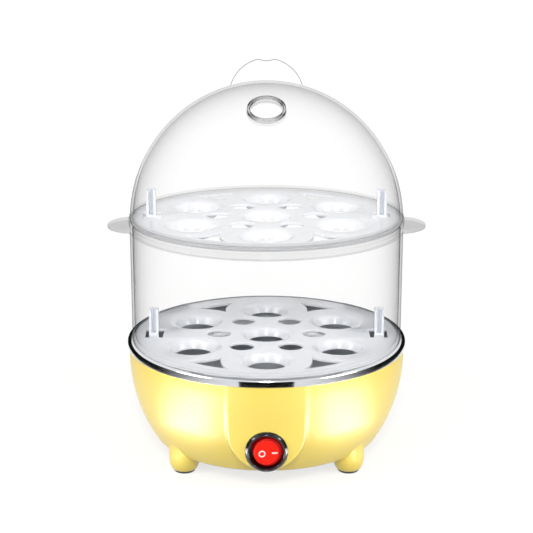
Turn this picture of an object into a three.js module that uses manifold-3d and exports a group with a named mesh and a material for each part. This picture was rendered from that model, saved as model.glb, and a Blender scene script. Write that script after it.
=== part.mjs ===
// Two-tier egg cooker: a bowl-shaped base with a heated pan, two egg racks,
// a clear steam tier and a clear domed lid.
// Millimetres, +Z up. The origin is on the cooker's axis, level with the soles
// of its feet. The switch faces -Y, the cord gland faces +Y, and the steam
// tier's ears point along X.

import * as THREE from 'three';
import { mergeVertices } from 'three/addons/utils/BufferGeometryUtils.js';
import Module from 'manifold-3d';

const wasm = await Module();
wasm.setup();

// ---- Driving sizes ------------------------------------------------------

const trimRadius = 80;            // outside of the steel trim ring
const housingTop = 63.5;          // top edge of the base housing
const bowlInset = 0.9;            // the bowl's widest girth lies this far inside the trim ring
const bowlShoulder = 4.5;         // the girth lies this far under the housing's top edge
const bottomRadius = 64.2;        // where the bowl's side meets its flat bottom
const bottomHeight = 9.8;         // clearance under the flat bottom
const bottomFillet = 4.5;
const housingWall = 2.4;

const footRadius = 8.75;
const footInset = 4;              // foot centres lie this far inside the flat bottom's edge
const footAngle = 40;             // degrees from the X axis
const padThickness = 1.6;
const padRadius = 6;

const coverInset = 10.2;          // the screwed cover's edge lies this far inside the bottom's
const coverThickness = 2;
const coverLedge = 8;             // width of the ledge that the cover seats on
const ventSlotLength = 16;
const ventSlotWidth = 2.6;
const screwRadius = 1.5;          // shank of every fixing screw
const screwHead = 3;
const screwHeadHeight = 1.5;
const screwBoss = 3.8;            // outside radius of the pillars that take a screw
const coverBossHeight = 9;
const coverScrewAngle = 55;       // degrees from the X axis

const switchHeight = 27;          // centre of the switch above the soles
const switchHole = 10.1;          // radius of the panel hole
const switchLip = 1.4;            // the bezel covers the hole by this much
const bossSide = 11;              // from the bezel's edge to the boss's side
const bossUnder = 1.5;            // from the bezel's edge to the boss's underside
const bossInset = 1.9;            // the switch panel lies this far inside the bowl's girth
const bossCrown = 160;            // radius of the panel's slight sideways curve
const bezelDepth = 1.9;
const bezelWall = 1;              // from the switch body's outside to its bore
const rockerSwing = 1.1;          // room round the rocker for its tilt
const rockerChamfer = 1.8;        // the rocker's flat face is smaller by this much
const rockerThrow = 18;           // degrees from one side pressed to the other
const switchDepth = 21;           // length of the switch body behind the panel

const trimHeight = 4.8;           // steel trim ring, from its lower edge to its top
const trimWall = 1.3;
const trimHead = 2.5;             // width of its rolled top

const panDepth = 18.5;            // from the housing's top edge to the pan's underside
const panSheet = 0.8;
const panRest = 4.7;              // width of the pan flange that carries the rack
const panDraft = 8.3;             // the pan narrows by this much towards its floor
const gasketThickness = 1.7;
const spreaderRadius = 42;
const spreaderThickness = 2;
const elementInset = 10;          // the heating loop lies this far inside the spreader's edge
const elementTube = 2.9;
const barWidth = 9;               // clamp bar that presses the pan down
const barThickness = 1.6;
const barTurn = 25;               // the bar's angle from the X axis, in degrees
const leadRadius = 1.1;

const rackInset = 0.7;            // the racks are this much smaller than the tier
const rackThickness = 1.5;
const wellPitch = 47.5;           // radius of the ring of six egg wells
const wellMouth = 16.5;
const wellSeat = 13;
const wellOpening = 11;
const wellDepth = 5.5;
const wellWall = 1.3;
const steamHoleRib = 3.1;         // plate left between a steam hole and the wells
const windowInset = 11;           // the four large windows end this far inside the rack's edge
const windowRib = 8.5;            // plate left between a window and a well's mouth
const windowSpan = 24;            // degrees that a window may reach to each side of its middle
const postInset = 11.5;           // lifting posts stand this far inside the rack's edge
const postWidth = 5.3;
const postDepth = 6;
const postHeight = 15;

const tierWall = 1.4;
const tierHeight = 69.7;          // from the tier's lower edge to its upper rim
const tierFlange = 0.5;           // the flange stands this far proud of the wall
const tierFlangeDepth = 6.6;
const earOverhang = 12.8;         // the ears reach this far beyond the tier's wall
const earRadius = 18.5;
const earThickness = 2.2;

const domeHeight = 75.4;          // lid, from its lower edge to the crown
const domeSink = 2.8;             // the dome's widest girth, under the lid's lower edge
const domeWall = 1.5;
const lidLip = 1.6;
const tabRadius = 20.8;
const tabSink = 8;                // centre of the tab's disc, under the crown
const tabThickness = 3;
const tabDip = 1.4;
const ventAngle = 30;             // degrees from the axis, towards the switch side
const ventRadius = 10.3;
const ventBore = 8.8;
const ventRim = 2;

const glandHeight = 25;           // centre of the cord gland above the soles
const glandNeck = 4.6;
const glandFlange = 6.6;
const cordBore = 3.3;
const cordClampInset = 7.2;       // the cord clamp stands this far inside the bottom's edge
const cordClampSpread = 9;

const gap = 0.3;                  // clearance between pieces that touch

// ---- Sizes that follow --------------------------------------------------

const bowlRadius = trimRadius - bowlInset;
const bossFace = bowlRadius - bossInset;
const bowlMiddle = housingTop - bowlShoulder;
const bowlDepth = (bowlMiddle - bottomHeight) / Math.sqrt(1 - (bottomRadius / bowlRadius) ** 2);
const bowlAt = (z) => bowlRadius * Math.sqrt(1 - ((bowlMiddle - z) / bowlDepth) ** 2);
const trimBottom = housingTop + gap;
const trimTop = trimBottom + trimHeight;
const trimInner = trimRadius - trimHead;
const tierRadius = trimInner - gap;
const tierFlangeRadius = tierRadius + tierFlange;
const rackRadius = tierRadius - rackInset;
const gasketBottom = housingTop + gap;
const flangeBottom = gasketBottom + gasketThickness + gap;
const flangeTop = flangeBottom + panSheet;
const rackBottom = flangeTop + gap;
const rackTop = rackBottom + rackThickness;
const tierBottom = rackTop + gap;
const tierTop = tierBottom + tierHeight;
const upperRackTop = tierTop - 0.1;
const rackRise = upperRackTop - rackTop;
const lidBottom = tierTop + gap;
const lidRadius = tierRadius;
const domeRadius = lidRadius - 0.2;
const crown = lidBottom + domeHeight;
const footPitch = bottomRadius - footInset;
const coverRadius = bottomRadius - coverInset;
const coverTop = bottomHeight + coverThickness;
const ledgeBottom = coverTop + gap;
const floorTop = ledgeBottom + housingWall;
const screwPitch = coverRadius - coverLedge / 2;
const clearHole = screwRadius + gap;
const panFloor = housingTop - panDepth;
const panMouthRadius = rackRadius - panRest;
const panFloorRadius = panMouthRadius - panDraft;
const panFlangeRadius = trimRadius - trimWall - 0.5;
const spreaderBottom = panFloor - gap - spreaderThickness;
const elementRing = spreaderRadius - elementInset;
const elementHeight = spreaderBottom - gap - elementTube;
const barTop = elementHeight - elementTube - gap;
const barBottom = barTop - barThickness;
const pillarTop = barBottom - gap;
const steamHolePitch = wellPitch / Math.sqrt(3);
const steamHoleRadius = steamHolePitch - wellMouth - 1 - steamHoleRib;
const windowRadius = rackRadius - windowInset;
const windowMargin = wellMouth + windowRib;
const postRadius = rackRadius - postInset;
const earReach = tierRadius + earOverhang;
const cordClampPlace = bottomRadius - cordClampInset;
const bodyRadius = switchHole - gap;
const switchFlange = switchHole + switchLip;
const bossHalfWidth = switchFlange + bossSide;
const bossRise = bossSide - bossUnder;
const bezelBore = switchHole - bezelWall;
const rockerRadius = bezelBore - rockerSwing;
const rockerFace = rockerRadius - rockerChamfer;

// ---- Geometry helpers ---------------------------------------------------

const radians = THREE.MathUtils.degToRad;
const around = (count, turn = 0) =>
  Array.from({ length: count }, (_, i) => turn + (2 * Math.PI * i) / count);
const polar = (radius, angle) => [radius * Math.cos(angle), radius * Math.sin(angle)];

// Merges shared corners, drops slivers and turns the faces outwards.
function weld(geometry) {
  const bare = geometry.clone();
  bare.deleteAttribute('normal');
  bare.deleteAttribute('uv');
  const merged = mergeVertices(bare, 1e-4);
  const place = merged.getAttribute('position');
  const corners = [];
  const [a, b, c] = [0, 1, 2].map(() => new THREE.Vector3());
  let volume = 0;
  for (let i = 0; i < merged.index.count; i += 3) {
    const face = [0, 1, 2].map((k) => merged.index.getX(i + k));
    if (new Set(face).size < 3) continue;
    corners.push(face);
    a.fromBufferAttribute(place, face[0]);
    b.fromBufferAttribute(place, face[1]);
    c.fromBufferAttribute(place, face[2]);
    volume += a.dot(b.cross(c));
  }
  const outward = volume < 0 ? corners.map((face) => face.reverse()) : corners;
  merged.setIndex(outward.flat());
  return merged;
}

function toSolid(geometry) {
  const welded = weld(geometry);
  return new wasm.Manifold(new wasm.Mesh({
    numProp: 3,
    vertProperties: Float32Array.from(welded.getAttribute('position').array),
    triVerts: Uint32Array.from(welded.index.array),
  }));
}

function toGeometry(solid) {
  const mesh = solid.getMesh();
  const geometry = new THREE.BufferGeometry();
  geometry.setAttribute('position', new THREE.BufferAttribute(mesh.vertProperties, 3));
  geometry.setIndex(new THREE.BufferAttribute(mesh.triVerts, 1));
  return geometry;
}

const joined = (geometries) =>
  geometries.map(toSolid).reduce((whole, next) => whole.add(next));

// Joins the first list of geometries and cuts the second list away.
function carve(additions, cuts = []) {
  const body = joined(additions);
  return toGeometry(cuts.length ? body.subtract(joined(cuts)) : body);
}

// Turns a closed outline of [radius, height] points about the Z axis.
function turned(outline, segments = 48) {
  const points = outline.map(([r, z]) => new THREE.Vector2(r, z));
  const closed = points[0].x < 1e-6 && points.at(-1).x < 1e-6;
  if (!closed) points.push(points[0].clone());
  return new THREE.LatheGeometry(points, segments).rotateX(Math.PI / 2);
}

const disc = (radius, bottom, top, segments = 32) =>
  turned([[0, bottom], [radius, bottom], [radius, top], [0, top]], segments);

const ring = (inner, outer, bottom, top, segments = 48) =>
  turned([[inner, bottom], [outer, bottom], [outer, top], [inner, top]], segments);

function block(width, depth, height, x = 0, y = 0, z = 0) {
  return new THREE.BoxGeometry(width, depth, height).translate(x, y, z + height / 2);
}

// Extrudes an XY outline upwards from a height.
function raised(shape, bottom, height, curveSegments = 6) {
  const settings = { depth: height, bevelEnabled: false, curveSegments };
  return new THREE.ExtrudeGeometry(shape, settings).translate(0, 0, bottom);
}

// Extrudes an outline drawn in X and Z from one Y to a greater one.
function standing(shape, from, to, curveSegments = 12) {
  const settings = { depth: to - from, bevelEnabled: false, curveSegments };
  return new THREE.ExtrudeGeometry(shape, settings).rotateX(Math.PI / 2).translate(0, to, 0);
}

// Points on an arc of the radius-height plane, from one angle to another.
function arc(centreRadius, centreHeight, radius, from, to, steps) {
  return Array.from({ length: steps + 1 }, (_, i) => {
    const angle = radians(from + ((to - from) * i) / steps);
    return [centreRadius + radius * Math.cos(angle), centreHeight + radius * Math.sin(angle)];
  });
}

// A round tube through a list of points.
function tube(points, radius, steps = 11, sides = 5) {
  const path = new THREE.CatmullRomCurve3(points.map((p) => new THREE.Vector3(...p)));
  const corners = around(sides).map((angle) => new THREE.Vector2(...polar(radius, angle)));
  const settings = { steps, extrudePath: path, bevelEnabled: false };
  return new THREE.ExtrudeGeometry(new THREE.Shape(corners), settings);
}

const cooker = new THREE.Group();

// Adds a named piece with its own material.
function piece(name, geometry, finish, parent = cooker) {
  const material = new THREE.MeshStandardMaterial({
    color: finish.color,
    roughness: finish.roughness,
    metalness: finish.metalness ?? 0,
  });
  if (finish.opacity) {
    material.transparent = true;
    material.opacity = finish.opacity;
  }
  const mesh = new THREE.Mesh(weld(geometry), material);
  mesh.name = name;
  parent.add(mesh);
  return mesh;
}

const finishes = {
  yellow: { color: 0xfae16a, roughness: 0.25 },
  steel: { color: 0xc9cbcd, roughness: 0.18, metalness: 1 },
  pan: { color: 0xa9adb0, roughness: 0.32, metalness: 1 },
  aluminium: { color: 0xb7babd, roughness: 0.45, metalness: 1 },
  brass: { color: 0xc9a65a, roughness: 0.35, metalness: 1 },
  white: { color: 0xe9edf1, roughness: 0.45 },
  clear: { color: 0xeef1f3, roughness: 0.06, opacity: 0.3 },
  black: { color: 0x15161a, roughness: 0.3 },
  red: { color: 0xe0200f, roughness: 0.25 },
  rubber: { color: 0x4a4c50, roughness: 0.8 },
  silicone: { color: 0xdfe2e4, roughness: 0.7 },
  ceramic: { color: 0xece8df, roughness: 0.6 },
  sleeve: { color: 0xe8e4d8, roughness: 0.8 },
  brown: { color: 0x7a4a2c, roughness: 0.5 },
  blue: { color: 0x2f5fa8, roughness: 0.5 },
  green: { color: 0x7fa83a, roughness: 0.5 },
  glass: { color: 0xf2b49a, roughness: 0.1, opacity: 0.5 },
};

// ---- Screws and pillars -------------------------------------------------

// A pan-head screw on the Z axis. Its head bears on a height and its shank
// runs away from the head, upwards (1) or downwards (-1).
function screw(seat, way, length) {
  return turned([
    [0, seat - way * screwHeadHeight],
    [screwHead * 0.7, seat - way * screwHeadHeight],
    [screwHead, seat - way * screwHeadHeight * 0.4],
    [screwHead, seat],
    [screwRadius, seat],
    [screwRadius, seat + way * length],
    [0, seat + way * length],
  ], 8);
}

const copies = (places, geometry) => places.map(([x, y]) => geometry.clone().translate(x, y, 0));

// ---- Base housing -------------------------------------------------------

// Four places, one in each quarter, at the same angle from the X axis.
const quarters = (radius, degrees) =>
  [degrees, 180 - degrees, 180 + degrees, -degrees].map((turn) => polar(radius, radians(turn)));

const footPlaces = quarters(footPitch, footAngle);
const coverScrewPlaces = quarters(screwPitch, coverScrewAngle);
const barPlaces = around(2, radians(barTurn)).map((angle) => polar(screwPitch, angle));
const cordClampPlaces = [[-cordClampSpread, cordClampPlace], [cordClampSpread, cordClampPlace]];
const padSeat = padThickness - 0.5;
const cordClampTop = glandHeight + cordBore;
const glandPad = glandFlange + 1.4;
const glandSeat = bowlAt(glandHeight + glandPad) + 0.5;

// The bowl's side as [radius, height] points, moved inwards by a wall.
function bowlSide(inset, from, to, steps) {
  return Array.from({ length: steps + 1 }, (_, i) => {
    const z = from + ((to - from) * i) / steps;
    return [bowlAt(z) - inset, z];
  });
}

// The U-shaped outline of the switch boss, moved inwards by a wall.
function bossOutline(inset) {
  const halfWidth = bossHalfWidth - inset;
  const shape = new THREE.Shape();
  shape.moveTo(halfWidth, housingTop - inset);
  shape.lineTo(-halfWidth, housingTop - inset);
  shape.absarc(0, switchHeight + bossRise, halfWidth, Math.PI, 2 * Math.PI, false);
  shape.closePath();
  return shape;
}

// The boss's outside, with a gently curved panel.
function switchBoss() {
  const prism = standing(bossOutline(0), -bossFace - 1, -bottomRadius + 14, 10);
  const crownDisc = disc(bossCrown, 0, housingTop, 120).translate(0, bossCrown - bossFace, 0);
  return toGeometry(toSolid(prism).intersect(toSolid(crownDisc)));
}

// The room behind the panel, which is flat inside.
function bossRoom() {
  const panel = housingWall + 0.4;
  return standing(bossOutline(housingWall), -bossFace + panel, -bottomRadius + 14, 8);
}

function foot() {
  return turned([
    [0, padSeat],
    ...arc(footRadius - 3.5, padSeat + 3.5, 3.5, -75, 0, 2),
    [footRadius, bottomHeight + 12],
    [0, bottomHeight + 12],
  ], 14);
}

function baseHousing() {
  const segments = 44;
  const outer = turned([
    [0, bottomHeight],
    ...arc(bottomRadius - bottomFillet, bottomHeight + bottomFillet, bottomFillet, -90, -36, 2),
    ...bowlSide(0, bottomHeight + bottomFillet, housingTop, 6),
    [0, housingTop],
  ], segments);
  const cavity = turned([
    [0, floorTop],
    [bowlAt(floorTop) - housingWall - 2, floorTop],
    ...bowlSide(housingWall, floorTop + 2, housingTop + 1, 4),
    [0, housingTop + 1],
  ], segments);
  const footCore = disc(footRadius - housingWall, padThickness + gap + housingWall, floorTop + 6, 8);
  const padRecess = disc(padRadius + gap, 0, padThickness + gap, 12);
  const coverRecess = disc(coverRadius + gap, bottomHeight - 1, ledgeBottom, 36);
  const coverOpening = disc(coverRadius - coverLedge, bottomHeight, floorTop + 1, 32);
  const coverPillar = disc(screwBoss, ledgeBottom, floorTop + coverBossHeight, 10);
  const coverHole = disc(clearHole, bottomHeight, floorTop + coverBossHeight + 1, 6);
  const barPillar = disc(screwBoss, ledgeBottom, pillarTop, 10);
  const barHole = disc(clearHole, pillarTop - 8, pillarTop + 1, 6);
  const clampPost = disc(screwBoss - 0.8, ledgeBottom, cordClampTop, 8);
  const clampHole = disc(clearHole, cordClampTop - 8, cordClampTop + 1, 6);
  const panelHole = disc(switchHole, bossFace - 6, bossFace + 6, 20)
    .rotateX(Math.PI / 2).translate(0, 0, switchHeight);
  const cordHole = disc(glandNeck + gap, bowlAt(glandHeight) - 9, bowlAt(glandHeight) + 9, 12)
    .rotateX(-Math.PI / 2).translate(0, 0, glandHeight);

  const gland = disc(glandPad, bowlAt(glandHeight - glandPad) - 1, glandSeat, 16)
    .rotateX(-Math.PI / 2).translate(0, 0, glandHeight);

  const shell = joined([outer, switchBoss(), gland, ...copies(footPlaces, foot())]);
  const hollow = joined([cavity, bossRoom(), coverRecess, coverOpening,
    ...copies(footPlaces, footCore)]);
  const pillars = joined([...copies(coverScrewPlaces, coverPillar), ...copies(barPlaces, barPillar),
    ...copies(cordClampPlaces, clampPost)]);
  const holes = joined([panelHole, cordHole, ...copies(footPlaces, padRecess),
    ...copies(coverScrewPlaces, coverHole), ...copies(barPlaces, barHole),
    ...copies(cordClampPlaces, clampHole)]);
  return toGeometry(shell.subtract(hollow).add(pillars).subtract(holes));
}

function bottomCover() {
  const plate = disc(coverRadius, bottomHeight, coverTop, 36);
  const slot = block(ventSlotLength, ventSlotWidth, coverThickness + 2, 0, 0, bottomHeight - 1);
  const slots = [-2, -1, 0, 1, 2].flatMap((row) =>
    [-1, 1].map((side) => slot.clone().translate(side * ventSlotLength * 0.7, row * 9, 0)));
  const hole = disc(clearHole, bottomHeight - 1, coverTop + 1, 8);
  return carve([plate], [...slots, ...copies(coverScrewPlaces, hole)]);
}

const footPad = () => disc(padRadius, 0, padThickness, 12);

// ---- Heating pan and what holds it --------------------------------------

function trimRing() {
  const roll = trimRadius - trimInner;
  const headBottom = trimTop - roll;
  return turned([
    [trimRadius - trimWall, trimBottom],
    [trimRadius, trimBottom],
    ...arc(trimInner, headBottom, roll, 0, 90, 3),
    [trimInner, flangeTop + gap],
    [trimRadius - trimWall, flangeTop + gap],
  ], 44);
}

function heatingPan() {
  const corner = 3;
  return turned([
    [0, panFloor],
    ...arc(panFloorRadius - corner, panFloor + corner, corner, -90, 0, 2),
    [panMouthRadius, flangeBottom],
    [panFlangeRadius, flangeBottom],
    [panFlangeRadius, flangeTop],
    [panMouthRadius - panSheet, flangeTop],
    ...arc(panFloorRadius - corner, panFloor + corner, corner - panSheet, 0, -90, 2),
    [0, panFloor + panSheet],
  ], 40);
}

const panGasket = () =>
  ring(bowlRadius - housingWall - 1.1, panFlangeRadius, gasketBottom, gasketBottom + gasketThickness, 36);

const heatSpreader = () => disc(spreaderRadius, spreaderBottom, panFloor - gap, 28);

const elementGap = radians(40);   // opening of the heating loop, towards the switch
const endDrop = 5;
const elementEnds = [-1, 1].map((side) =>
  polar(elementRing, -Math.PI / 2 + (side * elementGap) / 2));
const bushTop = elementHeight - endDrop - gap;
const bushLength = 6;

function heatingElement() {
  const [left, right] = elementEnds;
  const sweep = 2 * Math.PI - elementGap * 1.5;
  const loop = Array.from({ length: 25 }, (_, i) => {
    const angle = Math.PI * 1.5 - elementGap * 0.75 - (sweep * i) / 24;
    return [...polar(elementRing, angle), elementHeight];
  });
  const ends = ([x, y]) => [[x * 1.0, y, elementHeight - 1.4], [x, y, elementHeight - endDrop]];
  return tube([...ends(left).reverse(), ...loop, ...ends(right)], elementTube, 34, 6);
}

const elementBush = () => ring(elementTube * 0.5, elementTube + 0.9, bushTop - bushLength, bushTop, 10);

function clampBar() {
  const length = 2 * screwPitch + barWidth;
  const strip = block(length, barWidth, barThickness, 0, 0, barBottom);
  const hole = disc(clearHole, barBottom - 1, barTop + 1, 8);
  const holes = copies([[screwPitch, 0], [-screwPitch, 0]], hole);
  return weld(carve([strip], holes).rotateZ(radians(barTurn)));
}

// ---- Thermostat and fuse ------------------------------------------------

const thermostatRadius = 8;
const tabReach = 12;
const fuseRadius = 2.6;
const fuseLength = 18;
const fusePlace = 18;
const fuseHeight = spreaderBottom - gap - fuseRadius;

function thermostat() {
  const top = spreaderBottom - gap;
  const body = turned([
    [0, barTop + gap],
    [thermostatRadius - 1.5, barTop + gap],
    [thermostatRadius - 1.5, top - 2],
    [thermostatRadius, top - 2],
    [thermostatRadius, top],
    [0, top],
  ], 16);
  const tabs = block(2 * tabReach, 3, 0.8, 0, 0, barTop + gap + 1.5);
  return weld(carve([body, tabs]).rotateZ(radians(barTurn - 90)));
}

const thermalFuse = () =>
  disc(fuseRadius, -fuseLength / 2, fuseLength / 2, 10)
    .rotateY(Math.PI / 2).translate(0, fusePlace, fuseHeight);

function fuseClip() {
  const room = 2 * (fuseRadius + gap);
  const bottom = fuseHeight - fuseRadius - gap - 0.8;
  const top = spreaderBottom - gap;
  const outer = block(5, room + 1.6, top - bottom, 0, fusePlace, bottom);
  const inner = block(7, room, top, 0, fusePlace, bottom + 0.8);
  return carve([outer], [inner]);
}

// ---- Cord entry and wiring ----------------------------------------------

function cordGland() {
  const seat = glandSeat + gap;
  const back = bowlAt(glandHeight) - housingWall - 5;
  return turned([
    [cordBore, back],
    [glandNeck, back],
    [glandNeck, seat],
    [glandFlange, seat],
    [glandFlange - 0.6, seat + 1.8],
    [glandNeck, seat + 2.6],
    [cordBore, seat + 2.6],
  ], 12).rotateX(-Math.PI / 2).translate(0, 0, glandHeight);
}

function cordClamp() {
  const bottom = cordClampTop + gap;
  const bar = block(2 * cordClampSpread + 7, 7, 2.5, 0, cordClampPlace, bottom);
  const hole = disc(clearHole, bottom - 1, bottom + 4, 8);
  return carve([bar], copies(cordClampPlaces, hole));
}

const terminalPlace = [-12, cordClampPlace - 8];
const terminalHeight = 9;
const terminalWidth = 20;
const terminalDepth = 9;

function terminalBlock() {
  const [x, y] = terminalPlace;
  const body = block(terminalWidth, terminalDepth, terminalHeight, x, y, floorTop + gap);
  const well = disc(1.8, floorTop + 4, floorTop + gap + terminalHeight + 1, 8);
  return carve([body], copies([-1, 0, 1].map((i) => [x + i * 6.2, y]), well));
}

const earthPlace = [10, spreaderRadius + 10];
const studBottom = panFloor - gap - 4.5;
const earthStud = () => disc(2.5, studBottom, panFloor - gap, 8).translate(...earthPlace, 0);

// The leads run under the clamp bar, from the terminal block in the back.
function leadRoutes() {
  const [x, y] = terminalPlace;
  const front = y - terminalDepth / 2 - gap - leadRadius;
  const blockHeight = floorTop + gap + terminalHeight / 2;
  const blade = -switchBack + bladeLength + gap + leadRadius;
  const tabHeight = barTop + gap + 1.9;
  const [tabX, tabY] = polar(tabReach + gap + leadRadius, radians(barTurn - 90));
  const bushHeight = bushTop - bushLength - gap - 0.2;
  const [left, right] = elementEnds;
  const fuseEnd = fuseLength / 2 + gap + leadRadius;
  const low = elementHeight - elementTube - 8;
  return {
    lead_live: [[x, front, blockHeight], [x, front - 10, blockHeight + 3], [x + 1, -8, low - 5],
      [-15, -34, low - 8], [-bladePitch, blade, switchHeight]],
    lead_switched: [[0, blade, switchHeight], [0, blade + 9, switchHeight + 1], [1, -26, low + 1],
      [4, -18, low + 4], [tabX, tabY - 0.5, tabHeight]],
    lead_thermostat: [[-tabX, -tabY + 0.2, tabHeight], [-11, 12, low + 3], [-21, 4, low + 1],
      [-19, -18, low], [-14, -27, low - 4], [left[0], left[1], bushHeight]],
    lead_neutral: [[x - 6, front, blockHeight], [x - 5, front - 9, blockHeight + 5],
      [-20, 24, low + 3], [-13, fusePlace + 1, fuseHeight - 1], [-fuseEnd, fusePlace, fuseHeight]],
    lead_fuse: [[fuseEnd, fusePlace, fuseHeight], [13.5, fusePlace + 0.5, fuseHeight - 4],
      [17, 15, low + 2], [21, 5, low], [22, -14, low], [14, -26, low - 4], [right[0], right[1], bushHeight]],
    lead_earth: [[x + 6, front, blockHeight], [x + 12, front - 8, blockHeight + 6],
      [4, 38, low + 2], [earthPlace[0], earthPlace[1] - 1, studBottom - 6],
      [...earthPlace, studBottom - gap - 0.2]],
  };
}

// ---- Switch -------------------------------------------------------------

const pivotDepth = bossFace - 5.2;
const switchBack = bossFace - switchDepth;
const bladeLength = 8;
const bladePitch = 5;
const pocketFloor = pivotDepth - 5;
const lampRadius = 2;
const trunnionRadius = 1.2;
const toSwitch = (geometry) => geometry.rotateX(Math.PI / 2).translate(0, 0, switchHeight);

function switchBezel() {
  const seat = bossFace + gap;
  return toSwitch(turned([
    [bezelBore, seat],
    [switchFlange, seat],
    [switchFlange - 0.2, seat + 0.8],
    [switchFlange - 1.2, seat + bezelDepth],
    [bezelBore + 0.3, seat + bezelDepth],
    [bezelBore, seat + bezelDepth - 0.5],
  ], 24));
}

function switchBody() {
  const cup = turned([
    [0, switchBack],
    [bodyRadius, switchBack],
    [bodyRadius, bossFace],
    [bezelBore, bossFace],
    [bezelBore, pocketFloor],
    [0, pocketFloor],
  ], 20);
  const lampWell = block(2 * (lampRadius + gap), 12, 5, 0, 0, pocketFloor - 5)
    .translate(0, 0, 0.5);
  const trunnionHole = disc(trunnionRadius + gap, -bodyRadius - 1, bodyRadius + 1, 8)
    .rotateX(Math.PI / 2).translate(0, 0, pivotDepth);
  return weld(toSwitch(carve([cup], [lampWell, trunnionHole])));
}

const neonLamp = () =>
  disc(lampRadius, -5.5, 5.5, 8).translate(0, -pocketFloor + lampRadius + 0.4, switchHeight);

const switchBlade = (x) =>
  block(0.8, bladeLength, 6.3, x, -switchBack + gap + bladeLength / 2, switchHeight - 3.15);

// The rocker, turned about its upright pivot so that its right side is in.
function switchRocker() {
  const button = toSwitch(turned([
    [0, pivotDepth - 2],
    [rockerRadius - 1, pivotDepth - 2],
    [rockerRadius, pivotDepth - 1],
    [rockerRadius, bossFace - 0.1],
    [rockerRadius - 0.6, bossFace + 0.5],
    [rockerFace, bossFace + 1.1],
    [0, bossFace + 1.1],
  ], 20));
  const trunnion = disc(trunnionRadius, -bodyRadius + 0.2, bodyRadius - 0.2, 8)
    .translate(0, -pivotDepth, switchHeight);
  return carve([button, trunnion])
    .translate(0, pivotDepth, 0)
    .rotateZ(radians(rockerThrow / 2))
    .translate(0, -pivotDepth, 0);
}

// ---- Egg racks ----------------------------------------------------------

// A window between two neighbouring wells: a sector of the plate, less a
// margin round each well.
function rackWindow(degrees, bottom, height) {
  const middle = radians(degrees);
  const span = radians(windowSpan);
  const half = Math.PI / 6;
  const sweep = (radius, from, to) => Array.from({ length: 13 }, (_, i) =>
    new THREE.Vector2(...polar(radius, from + ((to - from) * i) / 12)));
  const sector = new THREE.Shape([
    ...sweep(windowRadius, middle - span, middle + span),
    ...sweep(wellPitch * Math.cos(half), middle + span, middle - span),
  ]);
  const wells = [middle - half, middle + half].map((angle) => polar(wellPitch, angle));
  const margin = disc(windowMargin, bottom - 1, bottom + height + 1, 30);
  return carve([raised(sector, bottom, height)], copies(wells, margin));
}

// The two tapered slots beside a lifting post, on one side (1 or -1).
function postSlots(side) {
  const halfLength = 8;
  const inner = postRadius - postWidth / 2 - 1;
  const outer = postRadius + postWidth / 2 + 1;
  const outline = (points) =>
    new THREE.Shape(points.map(([x, y]) => new THREE.Vector2(side * x, y)));
  return [
    outline([[inner - 1.8, halfLength], [inner - 1.8, -halfLength], [inner + 0.3, -halfLength],
      [inner + 2, halfLength]]),
    outline([[outer + 0.4, halfLength], [outer - 1.3, -halfLength], [outer + 1, -halfLength],
      [outer + 1.5, halfLength]]),
  ];
}

function liftingPost(side) {
  const post = block(postWidth, postDepth, postHeight + rackThickness / 2, side * postRadius, 0,
    rackTop - rackThickness / 2);
  const channel = block(postWidth - 2.6, postDepth, postHeight, side * postRadius, -1.6, rackTop + 0.8);
  return carve([post], [channel]);
}

function eggRack() {
  const wells = [[0, 0], ...around(6, Math.PI / 6).map((angle) => polar(wellPitch, angle))];
  const steamHoles = around(6).map((angle) => polar(steamHolePitch, angle));
  const under = rackBottom - 1;
  const through = rackThickness + 2;
  const plate = disc(rackRadius, rackBottom, rackTop, 44);
  const cup = turned([
    [0, rackTop - wellDepth],
    [wellOpening + wellWall, rackTop - wellDepth],
    [wellSeat + wellWall, rackBottom],
    [0, rackBottom],
  ], 14);
  const bowl = turned([
    [0, rackTop - wellDepth - 1],
    [wellOpening, rackTop - wellDepth - 1],
    [wellOpening, rackTop - wellDepth],
    [wellSeat, rackTop - 1],
    [wellMouth, rackTop],
    [wellMouth, rackTop + 1],
    [0, rackTop + 1],
  ], 14);
  const cuts = [
    ...copies(wells, bowl),
    ...copies(steamHoles, disc(steamHoleRadius, under, under + through, 10)),
    ...[60, 120, 240, 300].map((degrees) => rackWindow(degrees, under, through)),
    ...[1, -1].flatMap(postSlots).map((slot) => raised(slot, under, through)),
  ];
  return carve([plate, ...copies(wells, cup), liftingPost(1), liftingPost(-1)], cuts);
}

// ---- Steam tier ---------------------------------------------------------

const flangeFoot = tierTop - tierFlangeDepth;
const tierInside = tierRadius - tierWall;

function steamTier() {
  const shelf = upperRackTop - rackThickness - gap;
  const rim = rackRadius + gap;
  const wall = turned([
    [tierInside - 0.8, tierBottom],
    [tierRadius, tierBottom],
    [tierRadius, flangeFoot],
    [tierFlangeRadius, flangeFoot],
    [tierFlangeRadius, flangeFoot + 2.8],
    [tierRadius, flangeFoot + 2.9],
    [tierRadius, flangeFoot + 3.4],
    [tierFlangeRadius, flangeFoot + 3.5],
    [tierFlangeRadius, tierTop],
    [rim, tierTop],
    [rim, shelf],
    [tierInside - 2.3, shelf],
    [tierInside - 2.3, shelf - 1.2],
    [tierInside, shelf - 4],
    [tierInside, tierBottom + 2],
    [tierInside - 0.8, tierBottom + 1.4],
  ], 44);
  const ear = (side) => carve(
    [disc(earRadius, flangeFoot, flangeFoot + earThickness, 28)
      .translate(side * (earReach - earRadius), 0, 0)],
    [disc(tierRadius - 0.5, flangeFoot - 1, flangeFoot + earThickness + 1, 44)],
  );
  return carve([wall, ear(1), ear(-1)]);
}

// ---- Lid ----------------------------------------------------------------

const domeMiddle = lidBottom - domeSink;
const domeRise = domeHeight + domeSink;

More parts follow.
